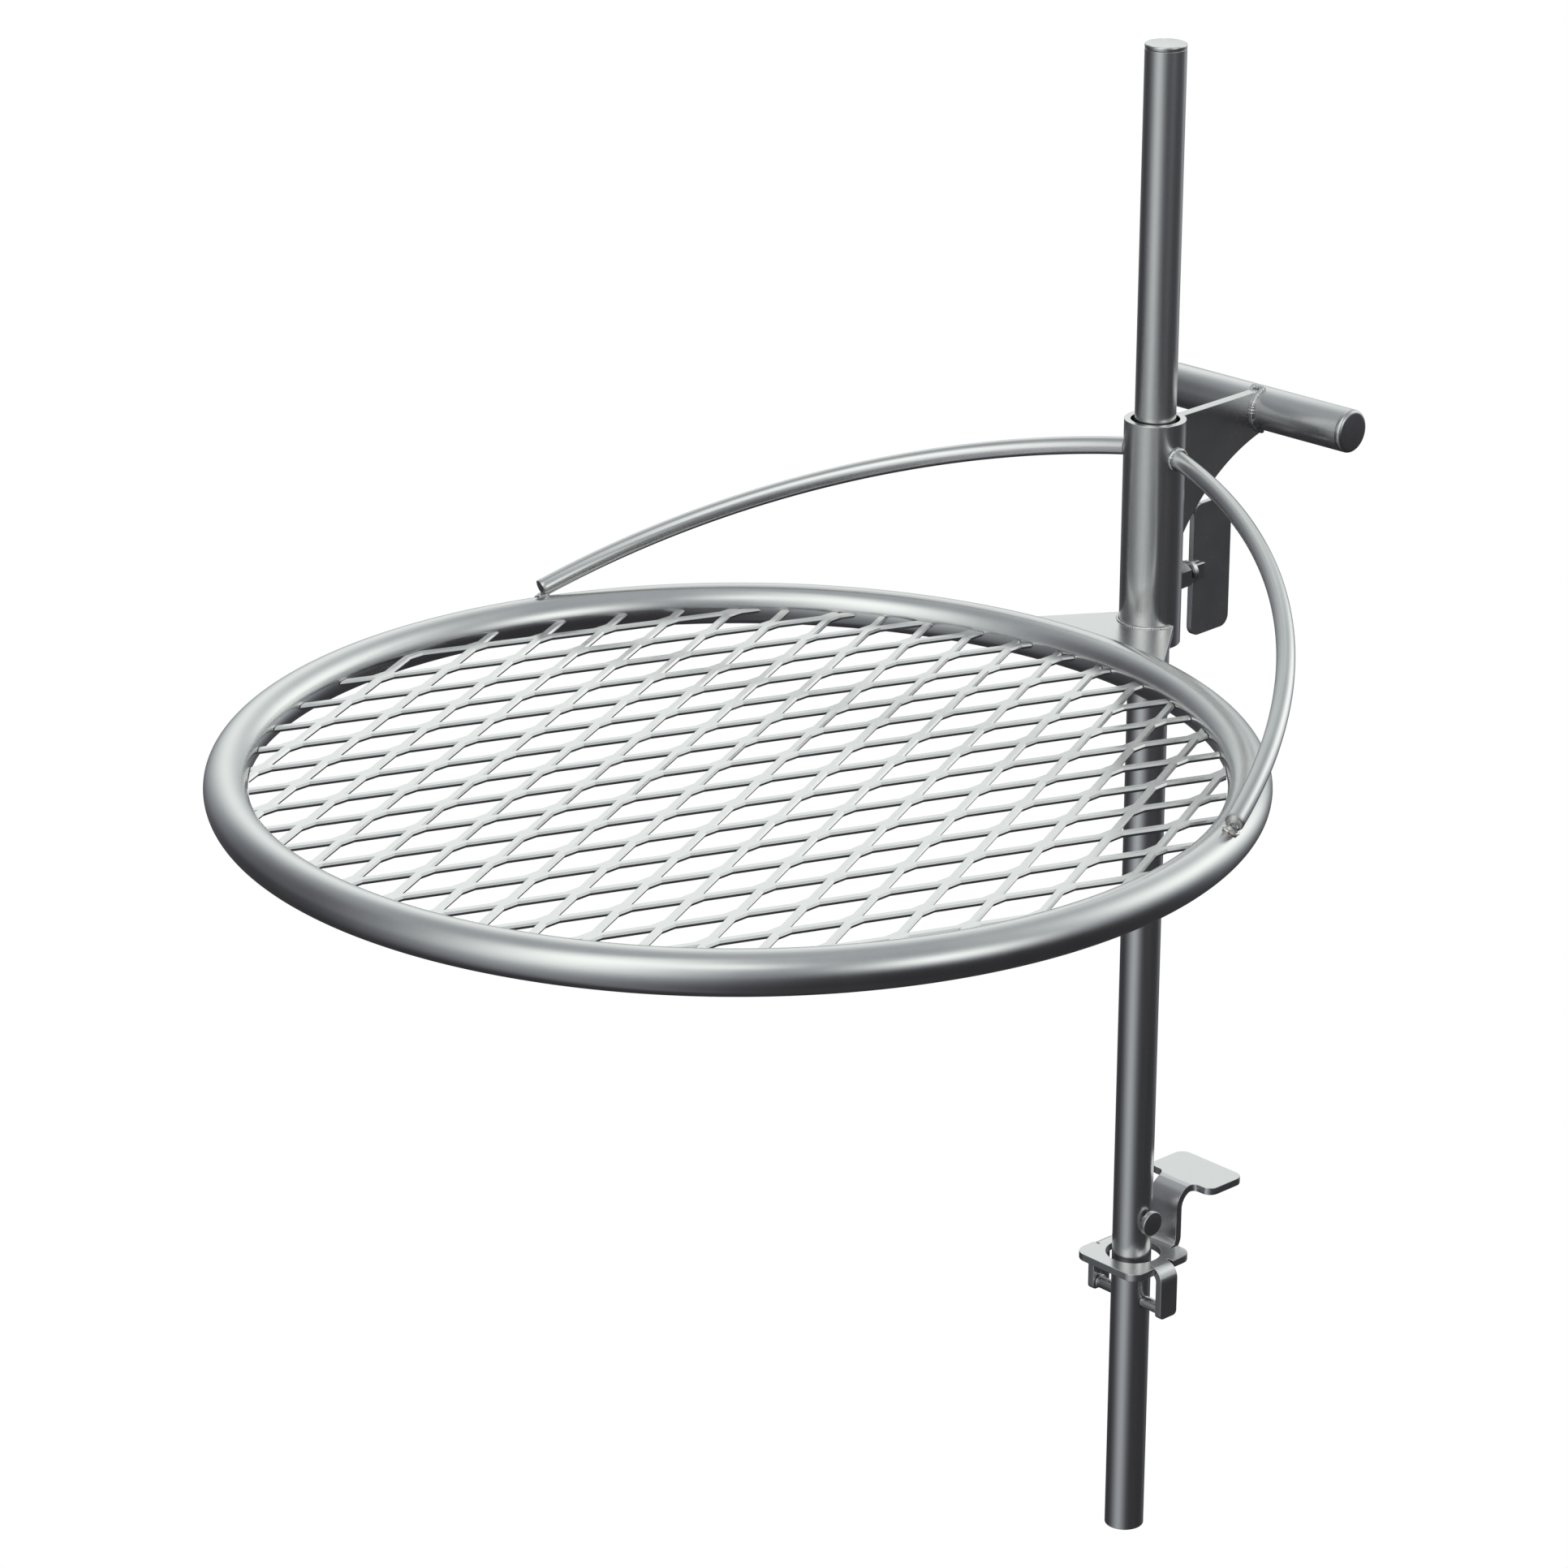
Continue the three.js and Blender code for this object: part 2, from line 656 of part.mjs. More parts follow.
// The gusset: level on top, hollowed below by an arc, and coped round the sleeve and the handle.
function gusset() {
  const top = sleeveTop - gussetTopDrop;
  const arcZ = sleeveTop - gussetArcDrop;
  const nearX = -sleeveRadius / 2;
  const farX = -handleReach;
  const angleAt = (x) => Math.acos((x + gussetArcReach) / gussetArcRadius);
  const outline = new THREE.Shape();
  outline.moveTo(nearX, top);
  outline.lineTo(farX, top);
  outline.lineTo(farX, arcZ + gussetArcRadius * Math.sin(angleAt(farX)));
  outline.absarc(-gussetArcReach, arcZ, gussetArcRadius, angleAt(farX), angleAt(nearX), true);
  outline.closePath();
  const plate = uprightPlate(outline, 0, gussetThickness, beadSteps);
  const half = gussetThickness / 2 + overrun;
  const handleCut = alongY(bar(handleRadius + clearance, -half, half, tubeSides));
  return cut(plate, sleeveCutter(), handleCut.translate([-handleReach, 0, handleZ]));
}

function handleTube() {
  const half = handleSpan / 2 - handleCapThickness - clearance;
  const tube = alongY(pipe(handleRadius, handleRadius - handleWall, -half, half, tubeSides - 8));
  return tube.translate([-handleReach, 0, handleZ]);
}

function handleCap(side) {
  const outer = handleSpan / 2;
  const inner = outer - handleCapThickness;
  const outline = [
    [0, inner],
    [handleRadius, inner],
  ];
  for (let step = 0; step <= capSteps; step += 1) {
    const angle = (step / capSteps) * (Math.PI / 2);
    outline.push([
      handleRadius - handleCapRadius + handleCapRadius * Math.cos(angle),
      outer - handleCapRadius + handleCapRadius * Math.sin(angle),
    ]);
  }
  outline.push([0, outer]);
  const cap = alongY(turned(outline, tubeSides - 8));
  const sided = side > 0 ? cap : cap.mirror([0, 1, 0]);
  return sided.translate([-handleReach, 0, handleZ]);
}

// A bead beside the gusset where it meets the handle.
function handleWeld(side) {
  const aside = side * (gussetThickness / 2 + clearance + handleWeldRadius);
  const centre = new THREE.Vector3(-handleReach, aside, handleZ);
  const radius = handleRadius + clearance + handleWeldRadius;
  const path = new ArcPath(centre, xAxis, zAxis, radius, -handleWeldSweep, handleWeldSweep);
  return rodAlong(path, handleWeldRadius, beadSides, beadSteps);
}

// A hexagonal nut round the screw, with flats that face ±Y.
function weldNut() {
  const corner = nutHexWidth / Math.sqrt(3);
  const near = sleeveRadius + clearance;
  const prism = turned(
    [
      [0, -nutEnd],
      [corner, -nutEnd],
      [corner, -near],
      [0, -near],
    ],
    6,
  );
  const nut = alongX(prism).translate([0, 0, lockZ]);
  const bore = alongX(bar(screwRadius + clearance, -nutEnd - overrun, 0, rodSides));
  return cut(nut, bore.translate([0, 0, lockZ]));
}

function lockScrewShank() {
  const shank = bar(
    screwRadius,
    -screwHeadStart + clearance,
    -postRadius - screwTipGap,
    rodSides,
    0,
    stopHeadChamfer,
  );
  return alongX(shank).translate([0, 0, lockZ]);
}

// The screw's square head and the round collar in front of it.
function lockScrewHead() {
  const half = screwHeadWidth / 2;
  const insideCollar = -screwHeadStart - screwCollarLength / 2;
  const collar = alongX(bar(screwCollarDiameter / 2, -screwCollarEnd, -screwHeadStart, rodSides));
  const square = block([-screwHeadEnd, -half, -half], [insideCollar, half, half]);
  return collar.add(square).translate([0, 0, lockZ]);
}

function lockPaddle() {
  const outline = roundedOutline(
    -paddleNear - paddleWidth,
    -paddleNear,
    lockZ - paddleLength / 2,
    lockZ + paddleLength / 2,
    paddleCornerRadius,
  );
  const plate = uprightPlate(outline, 0, paddleThickness);
  const half = screwHeadWidth / 2 + clearance;
  const notch = block(
    [-screwHeadEnd - clearance, -paddleThickness, lockZ - half],
    [0, paddleThickness, lockZ + half],
  );
  return cut(plate, notch);
}

const bracketPieces = new THREE.Group();
bracketPieces.add(
  piece('rim_bracket', rimBracket(), satin),
  piece('cross_rod', crossRod(), dull),
  piece('rod_weld_left', rodWeld(-1), welded),
  piece('rod_weld_right', rodWeld(1), welded),
);

const postPieces = new THREE.Group();
postPieces.position.set(postX, 0, 0);
postPieces.add(
  piece('post_tube', postTube(), satin),
  piece('post_top_cap', postCap(), bright),
  piece('stop_pin', stopPin(), dull),
);

const carriagePieces = new THREE.Group();
carriagePieces.position.set(postX, 0, 0);
carriagePieces.rotation.z = restSwivel;
carriagePieces.add(
  piece('sleeve', sleeve(), satin),
  piece('ring_tube', ringTube(), satin),
  piece('grille', grille(), bright),
  piece('web_plate', webPlate(), satin),
  piece('web_weld_top', webWeld(1), welded),
  piece('web_weld_bottom', webWeld(-1), welded),
  piece('gusset', gusset(), dull),
  piece('handle_tube', handleTube(), satin),
  piece('handle_cap_left', handleCap(-1), dull),
  piece('handle_cap_right', handleCap(1), dull),
  piece('handle_weld_left', handleWeld(-1), welded),
  piece('handle_weld_right', handleWeld(1), welded),
  piece('weld_nut', weldNut(), dull),
  piece('lock_screw_shank', lockScrewShank(), bright),
  piece('lock_screw_head', lockScrewHead(), dull),
  piece('lock_paddle', lockPaddle(), dull),
);

const archPieces = { rod: archRod(), root: archRootWeld(), end: archEndWeld() };
for (const [side, name] of [
  [1, 'right'],
  [-1, 'left'],
]) {
  const sided = (solid) => (side > 0 ? solid : solid.mirror([0, 1, 0]));
  carriagePieces.add(
    piece('arch_rod_' + name, sided(archPieces.rod), satin),
    piece('arch_root_weld_' + name, sided(archPieces.root), welded),
    piece('arch_end_weld_' + name, sided(archPieces.end), welded),
  );
}

const grate = new THREE.Group();
grate.add(bracketPieces, postPieces, carriagePieces);

export default grate;
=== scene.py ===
# A stainless-steel swivel grate for a fire pit: a round grate of expanded metal on a sleeve that slides and
# swivels on a post, and a folded bracket that hooks the post over the pit's rim. Metres, +Z up.
import math

import bmesh
import bpy
from mathutils import Matrix, Vector


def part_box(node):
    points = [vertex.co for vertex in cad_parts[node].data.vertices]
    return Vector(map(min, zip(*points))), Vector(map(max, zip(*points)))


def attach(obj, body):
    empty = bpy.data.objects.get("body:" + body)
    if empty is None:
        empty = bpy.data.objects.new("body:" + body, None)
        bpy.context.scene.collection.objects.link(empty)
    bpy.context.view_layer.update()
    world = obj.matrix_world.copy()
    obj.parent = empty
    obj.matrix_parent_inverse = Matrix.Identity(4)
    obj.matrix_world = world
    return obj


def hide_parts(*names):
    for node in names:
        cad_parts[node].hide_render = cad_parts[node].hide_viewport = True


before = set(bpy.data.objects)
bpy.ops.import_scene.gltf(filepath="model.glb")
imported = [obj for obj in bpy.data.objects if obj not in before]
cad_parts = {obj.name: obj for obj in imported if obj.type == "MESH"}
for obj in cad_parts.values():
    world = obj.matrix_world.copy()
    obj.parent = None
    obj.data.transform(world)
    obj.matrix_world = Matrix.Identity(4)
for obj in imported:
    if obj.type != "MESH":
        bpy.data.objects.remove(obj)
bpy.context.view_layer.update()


def box_middle(node):
    """The middle of a node's box."""
    low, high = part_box(node)
    return (low + high) / 2


def box_size(node):
    """The lengths of a node's box along X, Y and Z."""
    low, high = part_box(node)
    return high - low


# Places and sizes read from the frame
POST = box_middle("post_tube")
POST_RADIUS = box_size("post_tube").x / 2
POST_LOW, POST_HIGH = (corner.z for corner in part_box("post_tube"))
CAP_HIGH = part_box("post_top_cap")[1].z
SLEEVE_LOW, SLEEVE_HIGH = (corner.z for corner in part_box("sleeve"))
SLEEVE_RADIUS = box_size("sleeve").x / 2
RING = box_middle("ring_tube")
RING_TUBE_RADIUS = box_size("ring_tube").z / 2
RING_OUTER_RADIUS = box_size("ring_tube").y / 2
RING_RADIUS = RING_OUTER_RADIUS - RING_TUBE_RADIUS
RING_REACH = (RING - POST).to_2d().length
SWIVEL = math.atan2(RING.y - POST.y, RING.x - POST.x)
GRID_LOW, GRID_HIGH = (corner.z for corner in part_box("grille"))
GRID_RADIUS = box_size("grille").y / 2
WEB_LOW, WEB_HIGH = (corner.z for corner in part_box("web_plate"))
ROD = box_middle("cross_rod")
ROD_RADIUS = box_size("cross_rod").x / 2
ROD_HALF = box_size("cross_rod").y / 2
PIN = box_middle("stop_pin")
PIN_HEAD_RADIUS = box_size("stop_pin").z / 2
PIN_LOW, PIN_HIGH = (corner.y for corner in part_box("stop_pin"))
BRACKET_LOW, BRACKET_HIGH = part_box("rim_bracket")
LOCK_Z = box_middle("lock_screw_head").z
HANDLE_Z = box_middle("handle_tube").z
HANDLE_RADIUS = box_size("handle_tube").z / 2
GUSSET_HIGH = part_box("gusset")[1].z

# Sizes that boxes don't give
FIT = 0.0003  # the gap between touching pieces
HAIRLINE = 0.0001  # the gap and the edge of pieces that are drawn tight together
EDGE = 0.0004  # the softened edge of a cut sheet
FINE_EDGE = 0.0002
EDGE_MIDDLE = 0.3  # share of a softened edge that is cut back halfway round it
POST_WALL = 0.002
CAP_GAP = 0.00004  # the hairline under the top disc
CAP_ROUND = 0.0009
CAP_WAVER = 0.00012  # how far the disc's rounded edge sinks on average
PIN_RADIUS = 0.004
PIN_HEAD_THICKNESS = 0.0035
PIN_HEAD_ROUND = 0.0006
SLEEVE_BORE_RADIUS = 0.01505

# The folded bracket
SHEET = 0.005
HOOK_WIDTH = 0.055
HOOK_CORNER = 0.007
NECK_WIDTH = 0.025
NECK_ROOT_FILLET = 0.005
UPPER_BEND_INNER = 0.010
LOWER_BEND_INNER = 0.005
COLLAR_DROP = 0.0396
COLLAR_WIDTH = 0.0546
COLLAR_CORNER = 0.009
COLLAR_HOLE_RADIUS = 0.01775
EAR_WIDTH = 0.0152
EAR_BEND_INNER = 0.005
EAR_CORNER = 0.003
SLIT = 0.001

# The grille of expanded metal
GRID_PITCH_LONG = 0.0762
GRID_PITCH_SHORT = 0.033
GRID_BOND = 0.0102
GRID_STRAND = 0.0040
GRID_SHIFT = 0.0014  # how far the net sits off the ring's middle
GRID_RIDGE = 0.0008  # how far a strand's +Y side stands out below its top
GRID_RIDGE_DROP = 0.00123
GRID_LEAN = 0.00012  # how far that side is cut back at the foot, and the -Y side at the ridge's height
GRID_UNDERCUT = 0.0004  # how far the -Y side is cut back at the foot

# The carriage's plates, rods and handle
WEB_FLARE = math.radians(35.6)
ARCH_ROD_RADIUS = 0.0055
ARCH_RADIUS = 0.4019
ARCH_ALONG = 0.3827
ARCH_ASIDE = 0.1067
ARCH_SLOPE = math.radians(20.6)
ARCH_RISE = 0.122
ARCH_END = math.radians(106.45)
GUSSET_THICKNESS = 0.0063
GUSSET_ARC_RADIUS = 0.127
GUSSET_ARC_REACH = 0.1294
GUSSET_ARC_DROP = 0.153
HANDLE_HALF = 0.0725
HANDLE_REACH = 0.1015
HANDLE_CAP = 0.004
HANDLE_CAP_ROUND = 0.0024

# The lock screw, outwards from the sleeve
NUT_WIDTH = 0.017
NUT_BREAK = 0.0005
NUT_LENGTH = 0.0099
HEAD_GAP = 0.005  # from the nut to the collar of the screw's head
HEAD_COLLAR_RADIUS = 0.0074
HEAD_COLLAR_LENGTH = 0.003
HEAD_WIDTH = 0.010
HEAD_LENGTH = 0.0082
TIP_GAP = 0.0008
PADDLE_LENGTH = 0.086
PADDLE_WIDTH = 0.0356
PADDLE_THICKNESS = 0.004
PADDLE_CORNER = 0.007
SCREW_RADIUS = 0.005
THREAD_PITCH = 0.0015
THREAD_DEPTH = 0.0008
THREAD_TAPER = 0.0006  # how much thinner the screw is at its very ends
THREAD_STEEPNESS = 1.3
THREAD_LAND = 0.15  # how far the groove's profile is lowered, which leaves a land at full radius

# Weld beads: radius, and how far the middle line stands off the piece that it runs round
BEAD_RIPPLE = 0.0016  # between two ripples
BEAD_LEAST = 0.76  # share of the radius between ripples
BEAD_SWELL = 0.13  # share that a ripple adds
BEAD_TIP = 0.35  # share at an open end
ROD_BEAD_RADIUS = 0.00072
ROD_BEAD_INSET = 0.00081
ROD_BEAD_ARC = (math.radians(-40), math.radians(220))
WEB_BEAD_RADIUS = 0.0011
WEB_BEAD_OFF = 0.00066
WEB_BEAD_ARC = (math.radians(-86), math.radians(86))
ARCH_BEAD_RADIUS = 0.0016
ARCH_BEAD_OFF = 0.0004
ARCH_BEAD_LIFT = 0.0006  # off the sleeve's wall
ARCH_BEAD_SLOPE = 0.2  # the least slope at which it is moved off the wall
HANDLE_BEAD_RADIUS = 0.0017
HANDLE_BEAD_OFF = 0.00068
HANDLE_BEAD_START = math.radians(-80)
HANDLE_BEAD_PAST = math.radians(4)  # past the gusset's top
HANDLE_BEAD_OVERLAP = 0.2  # share by which it crosses the gusset's middle
ARCH_GLANCE = 0.01  # radians ahead to the point that gives the rod's direction at the sleeve
FOOT_RADIUS = 0.0054
FOOT_SHAPE = (1, 0.8, 0.42)
FOOT_LUMP = 0.07
FOOT_RIPPLE = 0.05
FOOT_WAVES = (900, 1100, 1500)  # radians per metre along X, Y and Z

# Waves round a bead or the top disc: share, count in a full turn, phase
BEAD_DRIFT = [(0.5, 3, 0), (0.4, 5, 1)]
BEAD_WANDER = [(0.07, 2, 2), (0.06, 7, 0)]
CAP_WAVES = [(0.5, 5, 0), (0.3, 11, 1), (0.2, 23, 2)]

# Steps of the round shapes
ROUND_SIDES = 128
RING_STEPS = 360
RING_SIDES = 64
ROD_SIDES = 40
PIN_HEAD_SIDES = 96
BORE_SIDES = 48
GRILLE_SIDES = 240
ARCH_STEPS = 160
EDGE_STEPS = 4
CORNER_STEPS = 8
BEND_STEPS = 12
WEB_SLEEVE_STEPS = 32
WEB_RING_STEPS = 48
GUSSET_GRIP_STEPS = 24
GUSSET_ARC_STEPS = 40
BEAD_SIDES = 12
ROD_BEAD_STEPS = 60
WEB_BEAD_STEPS = 160
ARCH_BEAD_STEPS = 96
HANDLE_BEAD_STEPS = 100
HANDLE_CROSS_STEPS = 20
THREAD_SIDES = 48
THREAD_STEPS = 12  # levels in a turn
HALVINGS = 40

# Angles between faces, and the distance at which two points are one
SHARP = math.radians(38)  # from here on an edge is crisp
FACET = math.radians(3)  # the same on the grille, whose facets are flat
FLAT = math.radians(1)  # edges inside a plate's faces
DEAD_FLAT = math.radians(0.2)  # edges that are dissolved in a finished mesh
RIM = math.radians(60)  # edges that a plate has softened
SAME_PLACE = 1e-7

CARRIAGE = Matrix.Translation((POST.x, POST.y, 0)) @ Matrix.Rotation(SWIVEL, 4, "Z")
AT_POST = Matrix.Translation((POST.x, POST.y, 0))
AS_MADE = Matrix.Identity(4)
X_AXIS = Vector((1, 0, 0))
Y_AXIS = Vector((0, 1, 0))
Z_AXIS = Vector((0, 0, 1))
ALONG_Y = Matrix.Rotation(-math.pi / 2, 4, "X")
ALONG_X = Matrix.Rotation(math.pi / 2, 4, "Y")
RAISED = Matrix.Rotation(math.pi / 2, 4, "X")  # stands a flat plate up, so that it lies in X and Z
SIDES = ((1, "right"), (-1, "left"))


def spread(start, end, steps):
    """Even steps from a start to an end, both among them."""
    return [start + (end - start) * step / steps for step in range(steps + 1)]


def waves(turn, terms):
    """The sum of some waves at an angle."""
    return sum(share * math.sin(count * turn + phase) for share, count, phase in terms)


def around(x, y, radius, angles):
    """Flat points at some angles round a centre."""
    return [Vector((x + radius * math.cos(a), y + radius * math.sin(a))) for a in angles]


def circle(x, y, radius, sides=ROUND_SIDES):
    """A round outline."""
    return around(x, y, radius, spread(0, 2 * math.pi, sides)[:-1])


def last_where(low, high, holds):
    """The last value from low to high for which a condition holds, found by halving."""
    for _ in range(HALVINGS):
        middle = (low + high) / 2
        low, high = (middle, high) if holds(middle) else (low, middle)
    return low


def band(here, there, sides):
    """The faces between two rings of vertices, from the number of each ring's first vertex."""
    pairs = [(side, (side + 1) % sides) for side in range(sides)]
    return [(here + a, here + b, there + b, there + a) for a, b in pairs]


def mesh_from(vertices, faces):
    """A closed mesh from points and faces, with its faces turned outwards."""
    bm = bmesh.new()
    made = [bm.verts.new(v) for v in vertices]
    for face in faces:
        bm.faces.new([made[i] for i in face])
    return mesh_of(bm)


def mesh_of(bm):
    """The finished mesh of a bmesh, which is freed."""
    bmesh.ops.recalc_face_normals(bm, faces=bm.faces)
    mesh = bpy.data.meshes.new("shape")
    bm.to_mesh(mesh)
    bm.free()
    return mesh


def moved(mesh, matrix):
    """The mesh, moved by a matrix. A mirroring matrix has its faces turned back."""
    mesh.transform(matrix)
    if matrix.determinant() < 0:
        mesh.flip_normals()
    return mesh


def combined(mesh, other, operation):
    """A mesh cut by, joined to or kept inside another, as one solid."""
    base = bpy.data.objects.new("base", mesh)
    tool = bpy.data.objects.new("tool", other)
    for part in (base, tool):
        bpy.context.scene.collection.objects.link(part)
    step = base.modifiers.new("combine", "BOOLEAN")
    step.operation = operation
    step.solver = "EXACT"
    step.object = tool
    graph = bpy.context.evaluated_depsgraph_get()
    result = bpy.data.meshes.new_from_object(base.evaluated_get(graph))
    for part in (base, tool):
        bpy.data.objects.remove(part)
    return result


def cut(mesh, *tools):
    """A mesh with other meshes cut out of it."""
    for tool in tools:
        mesh = combined(mesh, tool, "DIFFERENCE")
    return mesh


def lathe(outline, sides=ROUND_SIDES):
    """A body turned round the Z axis from (radius, height) points, which run from axis to axis or close."""
    vertices, faces, rings = [], [], []
    for radius, height in outline:
        if radius == 0:
            rings.append([len(vertices)])
            vertices.append((0, 0, height))
            continue
        rings.append(list(range(len(vertices), len(vertices) + sides)))
        for side in range(sides):
            angle = 2 * math.pi * side / sides
            vertices.append((radius * math.cos(angle), radius * math.sin(angle), height))
    pairs = list(zip(rings, rings[1:]))
    if outline[0][0] != 0:
        pairs.append((rings[-1], rings[0]))
    for low, high in pairs:
        if len(low) == 1:
            faces += [(low[0], high[side], high[side - 1]) for side in range(sides)]
        elif len(high) == 1:
            faces += [(low[side - 1], low[side], high[0]) for side in range(sides)]
        else:
            faces += band(low[0], high[0], sides)
    return mesh_from(vertices, faces)


def soft_corner(radius, height, size, start, steps=EDGE_STEPS):
    """Points of a rounded corner of a turned outline: its centre, its size and the angle it starts from."""
    angles = spread(start, start + math.pi / 2, steps)
    return [(radius + size * math.cos(a), height + size * math.sin(a)) for a in angles]


def round_bar(radius, low, high, edge, sides=ROUND_SIDES):
    """A round bar up the Z axis with softened ends."""
    lower = soft_corner(radius - edge, low + edge, edge, -math.pi / 2)
    upper = soft_corner(radius - edge, high - edge, edge, 0)
    return lathe([(0, low), *lower, *upper, (0, high)], sides)


def round_tube(outer, inner, low, high, edge, sides=ROUND_SIDES):
    """A round tube up the Z axis with softened ends."""
    outline = [
        *soft_corner(outer - edge, low + edge, edge, -math.pi / 2),
        *soft_corner(outer - edge, high - edge, edge, 0),
        *soft_corner(inner + edge, high - edge, edge, math.pi / 2),
        *soft_corner(inner + edge, low + edge, edge, math.pi),
    ]
    return lathe(outline, sides)


def sweep(path, radii, sides, across, closed=False):
    """A round body along points. across is never along the path, and keeps the body's sides level."""
    vertices, faces = [], []
    count = len(path)
    for i, (point, radius) in enumerate(zip(path, radii)):
        before = path[i - 1] if i or closed else point
        after = path[(i + 1) % count] if i < count - 1 or closed else point
        along = (after - before).normalized()
        side_way = across.cross(along).normalized()
        up_way = along.cross(side_way)
        for side in range(sides):
            angle = 2 * math.pi * side / sides
            offset = side_way * math.cos(angle) + up_way * math.sin(angle)
            vertices.append(point + offset * radius)
    for i in range(count if closed else count - 1):
        faces += band(i * sides, (i + 1) % count * sides, sides)
    if not closed:
        faces.append(range(sides))
        faces.append(range((count - 1) * sides, count * sides))
    return mesh_from(vertices, faces)


def flat_ended(path, radius, edge):
    """The points and radii of a rod whose ends are cut flat, with softened edges."""
    first = (path[1] - path[0]).normalized()
    last = (path[-2] - path[-1]).normalized()
    middle = edge * EDGE_MIDDLE
    steps = [(0, edge), (middle, middle), (edge, 0)]  # distance from the end, loss of radius
    points = [path[0] + first * inward for inward, _ in steps]
    points += path[1:-1]
    points += [path[-1] + last * inward for inward, _ in reversed(steps)]
    radii = [radius - loss for _, loss in steps]
    radii += [radius] * (len(path) - 2)
    radii += [radius - loss for _, loss in reversed(steps)]
    return points, radii


def bead(path, radius, across, closed=False):
    """A weld bead along points: a round body that swells at each ripple and thins at open ends."""
    lengths = [0.0]
    for a, b in zip(path, path[1:]):
        lengths.append(lengths[-1] + (b - a).length)
    total = lengths[-1] + ((path[0] - path[-1]).length if closed else 0)
    ripples = max(2, round(total / BEAD_RIPPLE))
    radii = []
    for length in lengths:
        turn = 2 * math.pi * length / total
        swell = abs(math.sin(ripples * turn / 2 + waves(turn, BEAD_DRIFT)))
        fade = 1 if closed else min(1, BEAD_TIP + min(length, total - length) / BEAD_RIPPLE)
        radii.append(radius * (BEAD_LEAST + BEAD_SWELL * swell + waves(turn, BEAD_WANDER)) * fade)
    return sweep(path, radii, BEAD_SIDES, across, closed)


def filleted(corners, steps=CORNER_STEPS):
    """A flat outline with rounded corners, from (x, y, radius) corners in order."""
    points = []
    count = len(corners)
    for i, (x, y, radius) in enumerate(corners):
        here = Vector((x, y))
        if radius == 0:
            points.append(here)
            continue
        back = (Vector(corners[i - 1][:2]) - here).normalized()
        ahead = (Vector(corners[(i + 1) % count][:2]) - here).normalized()
        half = back.angle(ahead) / 2
        centre = here + (back + ahead).normalized() * radius / math.sin(half)
        first = here + back * radius / math.tan(half) - centre
        turn = first.angle_signed(here + ahead * radius / math.tan(half) - centre)
        for angle in spread(0, -turn, steps):
            spun = first.copy()
            spun.rotate(Matrix.Rotation(angle, 2))
            points.append(centre + spun)
    return points


def is_level(edge):
    """Whether both ends of an edge lie at one height."""
    return edge.verts[0].co.z == edge.verts[1].co.z


def plate(outline, low, high, edge, holes=()):
    """A flat plate from an outline in X and Y, with softened edges."""
    bm = bmesh.new()
    edges = []
    for loop in (outline, *holes):
        made = [bm.verts.new((point.x, point.y, low)) for point in loop]
        edges += [bm.edges.new((made[i - 1], made[i])) for i in range(len(made))]
    bmesh.ops.triangle_fill(bm, use_beauty=True, use_dissolve=False, edges=edges)
    grown = bmesh.ops.extrude_face_region(bm, geom=bm.faces[:])
    lifted = [part for part in grown["geom"] if isinstance(part, bmesh.types.BMVert)]
    bmesh.ops.translate(bm, vec=(0, 0, high - low), verts=lifted)
    bmesh.ops.recalc_face_normals(bm, faces=bm.faces)
    inner = [e for e in bm.edges if is_level(e) and abs(e.calc_face_angle(0)) < FLAT]
    bmesh.ops.dissolve_edges(bm, edges=inner, use_verts=False)
    rims = [e for e in bm.edges if is_level(e) and e.calc_face_angle(0) > RIM]
    bmesh.ops.bevel(bm, geom=rims, offset=edge, segments=2, profile=0.5, affect="EDGES")
    return mesh_of(bm)


def piece(name, mesh, body, material, node, matrix=AS_MADE, flat=False, sharp=SHARP):
    """Adds a finished piece to the scene: it rides on a body and stands for a CAD node.

    flat is for a piece with flat faces and softened edges, whose shading then stays even.
    """
    mesh.shade_smooth()
    mesh.set_sharp_from_angle(angle=sharp)
    mesh.materials.clear()
    mesh.materials.append(material)
    mesh.name = name
    obj = bpy.data.objects.new(name, moved(mesh, matrix))
    bpy.context.scene.collection.objects.link(obj)
    if flat:
        even = obj.modifiers.new("even_normals", "WEIGHTED_NORMAL")
        even.keep_sharp = True
    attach(obj, body)
    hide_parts(node)


def fill(tree, socket, value):
    """Links an input to an output, or sets its number or colour."""
    if isinstance(value, bpy.types.NodeSocket):
        tree.links.new(value, socket)
    else:
        socket.default_value = value


def node_of(tree, kind, operation=None, **inputs):
    """A shader node with its operation, and with some of its inputs set or linked."""
    made = tree.nodes.new(kind)
    if operation:
        made.operation = operation
    for name, value in inputs.items():
        fill(tree, made.inputs[name.replace("_", " ")], value)
    return made


def maths(tree, operation, *values):
    """The result of a maths node."""
    made = node_of(tree, "ShaderNodeMath", operation)
    for socket, value in zip(made.inputs, values):
        fill(tree, socket, value)
    return made.outputs[0]


def ramp(tree, factor, stops):
    """The colour output of a ramp of grey levels or colours."""
    stops = list(stops)
    made = node_of(tree, "ShaderNodeValToRGB", Fac=factor)
    elements = made.color_ramp.elements
    while len(elements) < len(stops):
        elements.new(0.5)
    for element, (place, level) in zip(elements, stops):
        element.position = place
        element.color = (level, level, level, 1) if isinstance(level, (int, float)) else (*level, 1)
    return made.outputs["Color"]


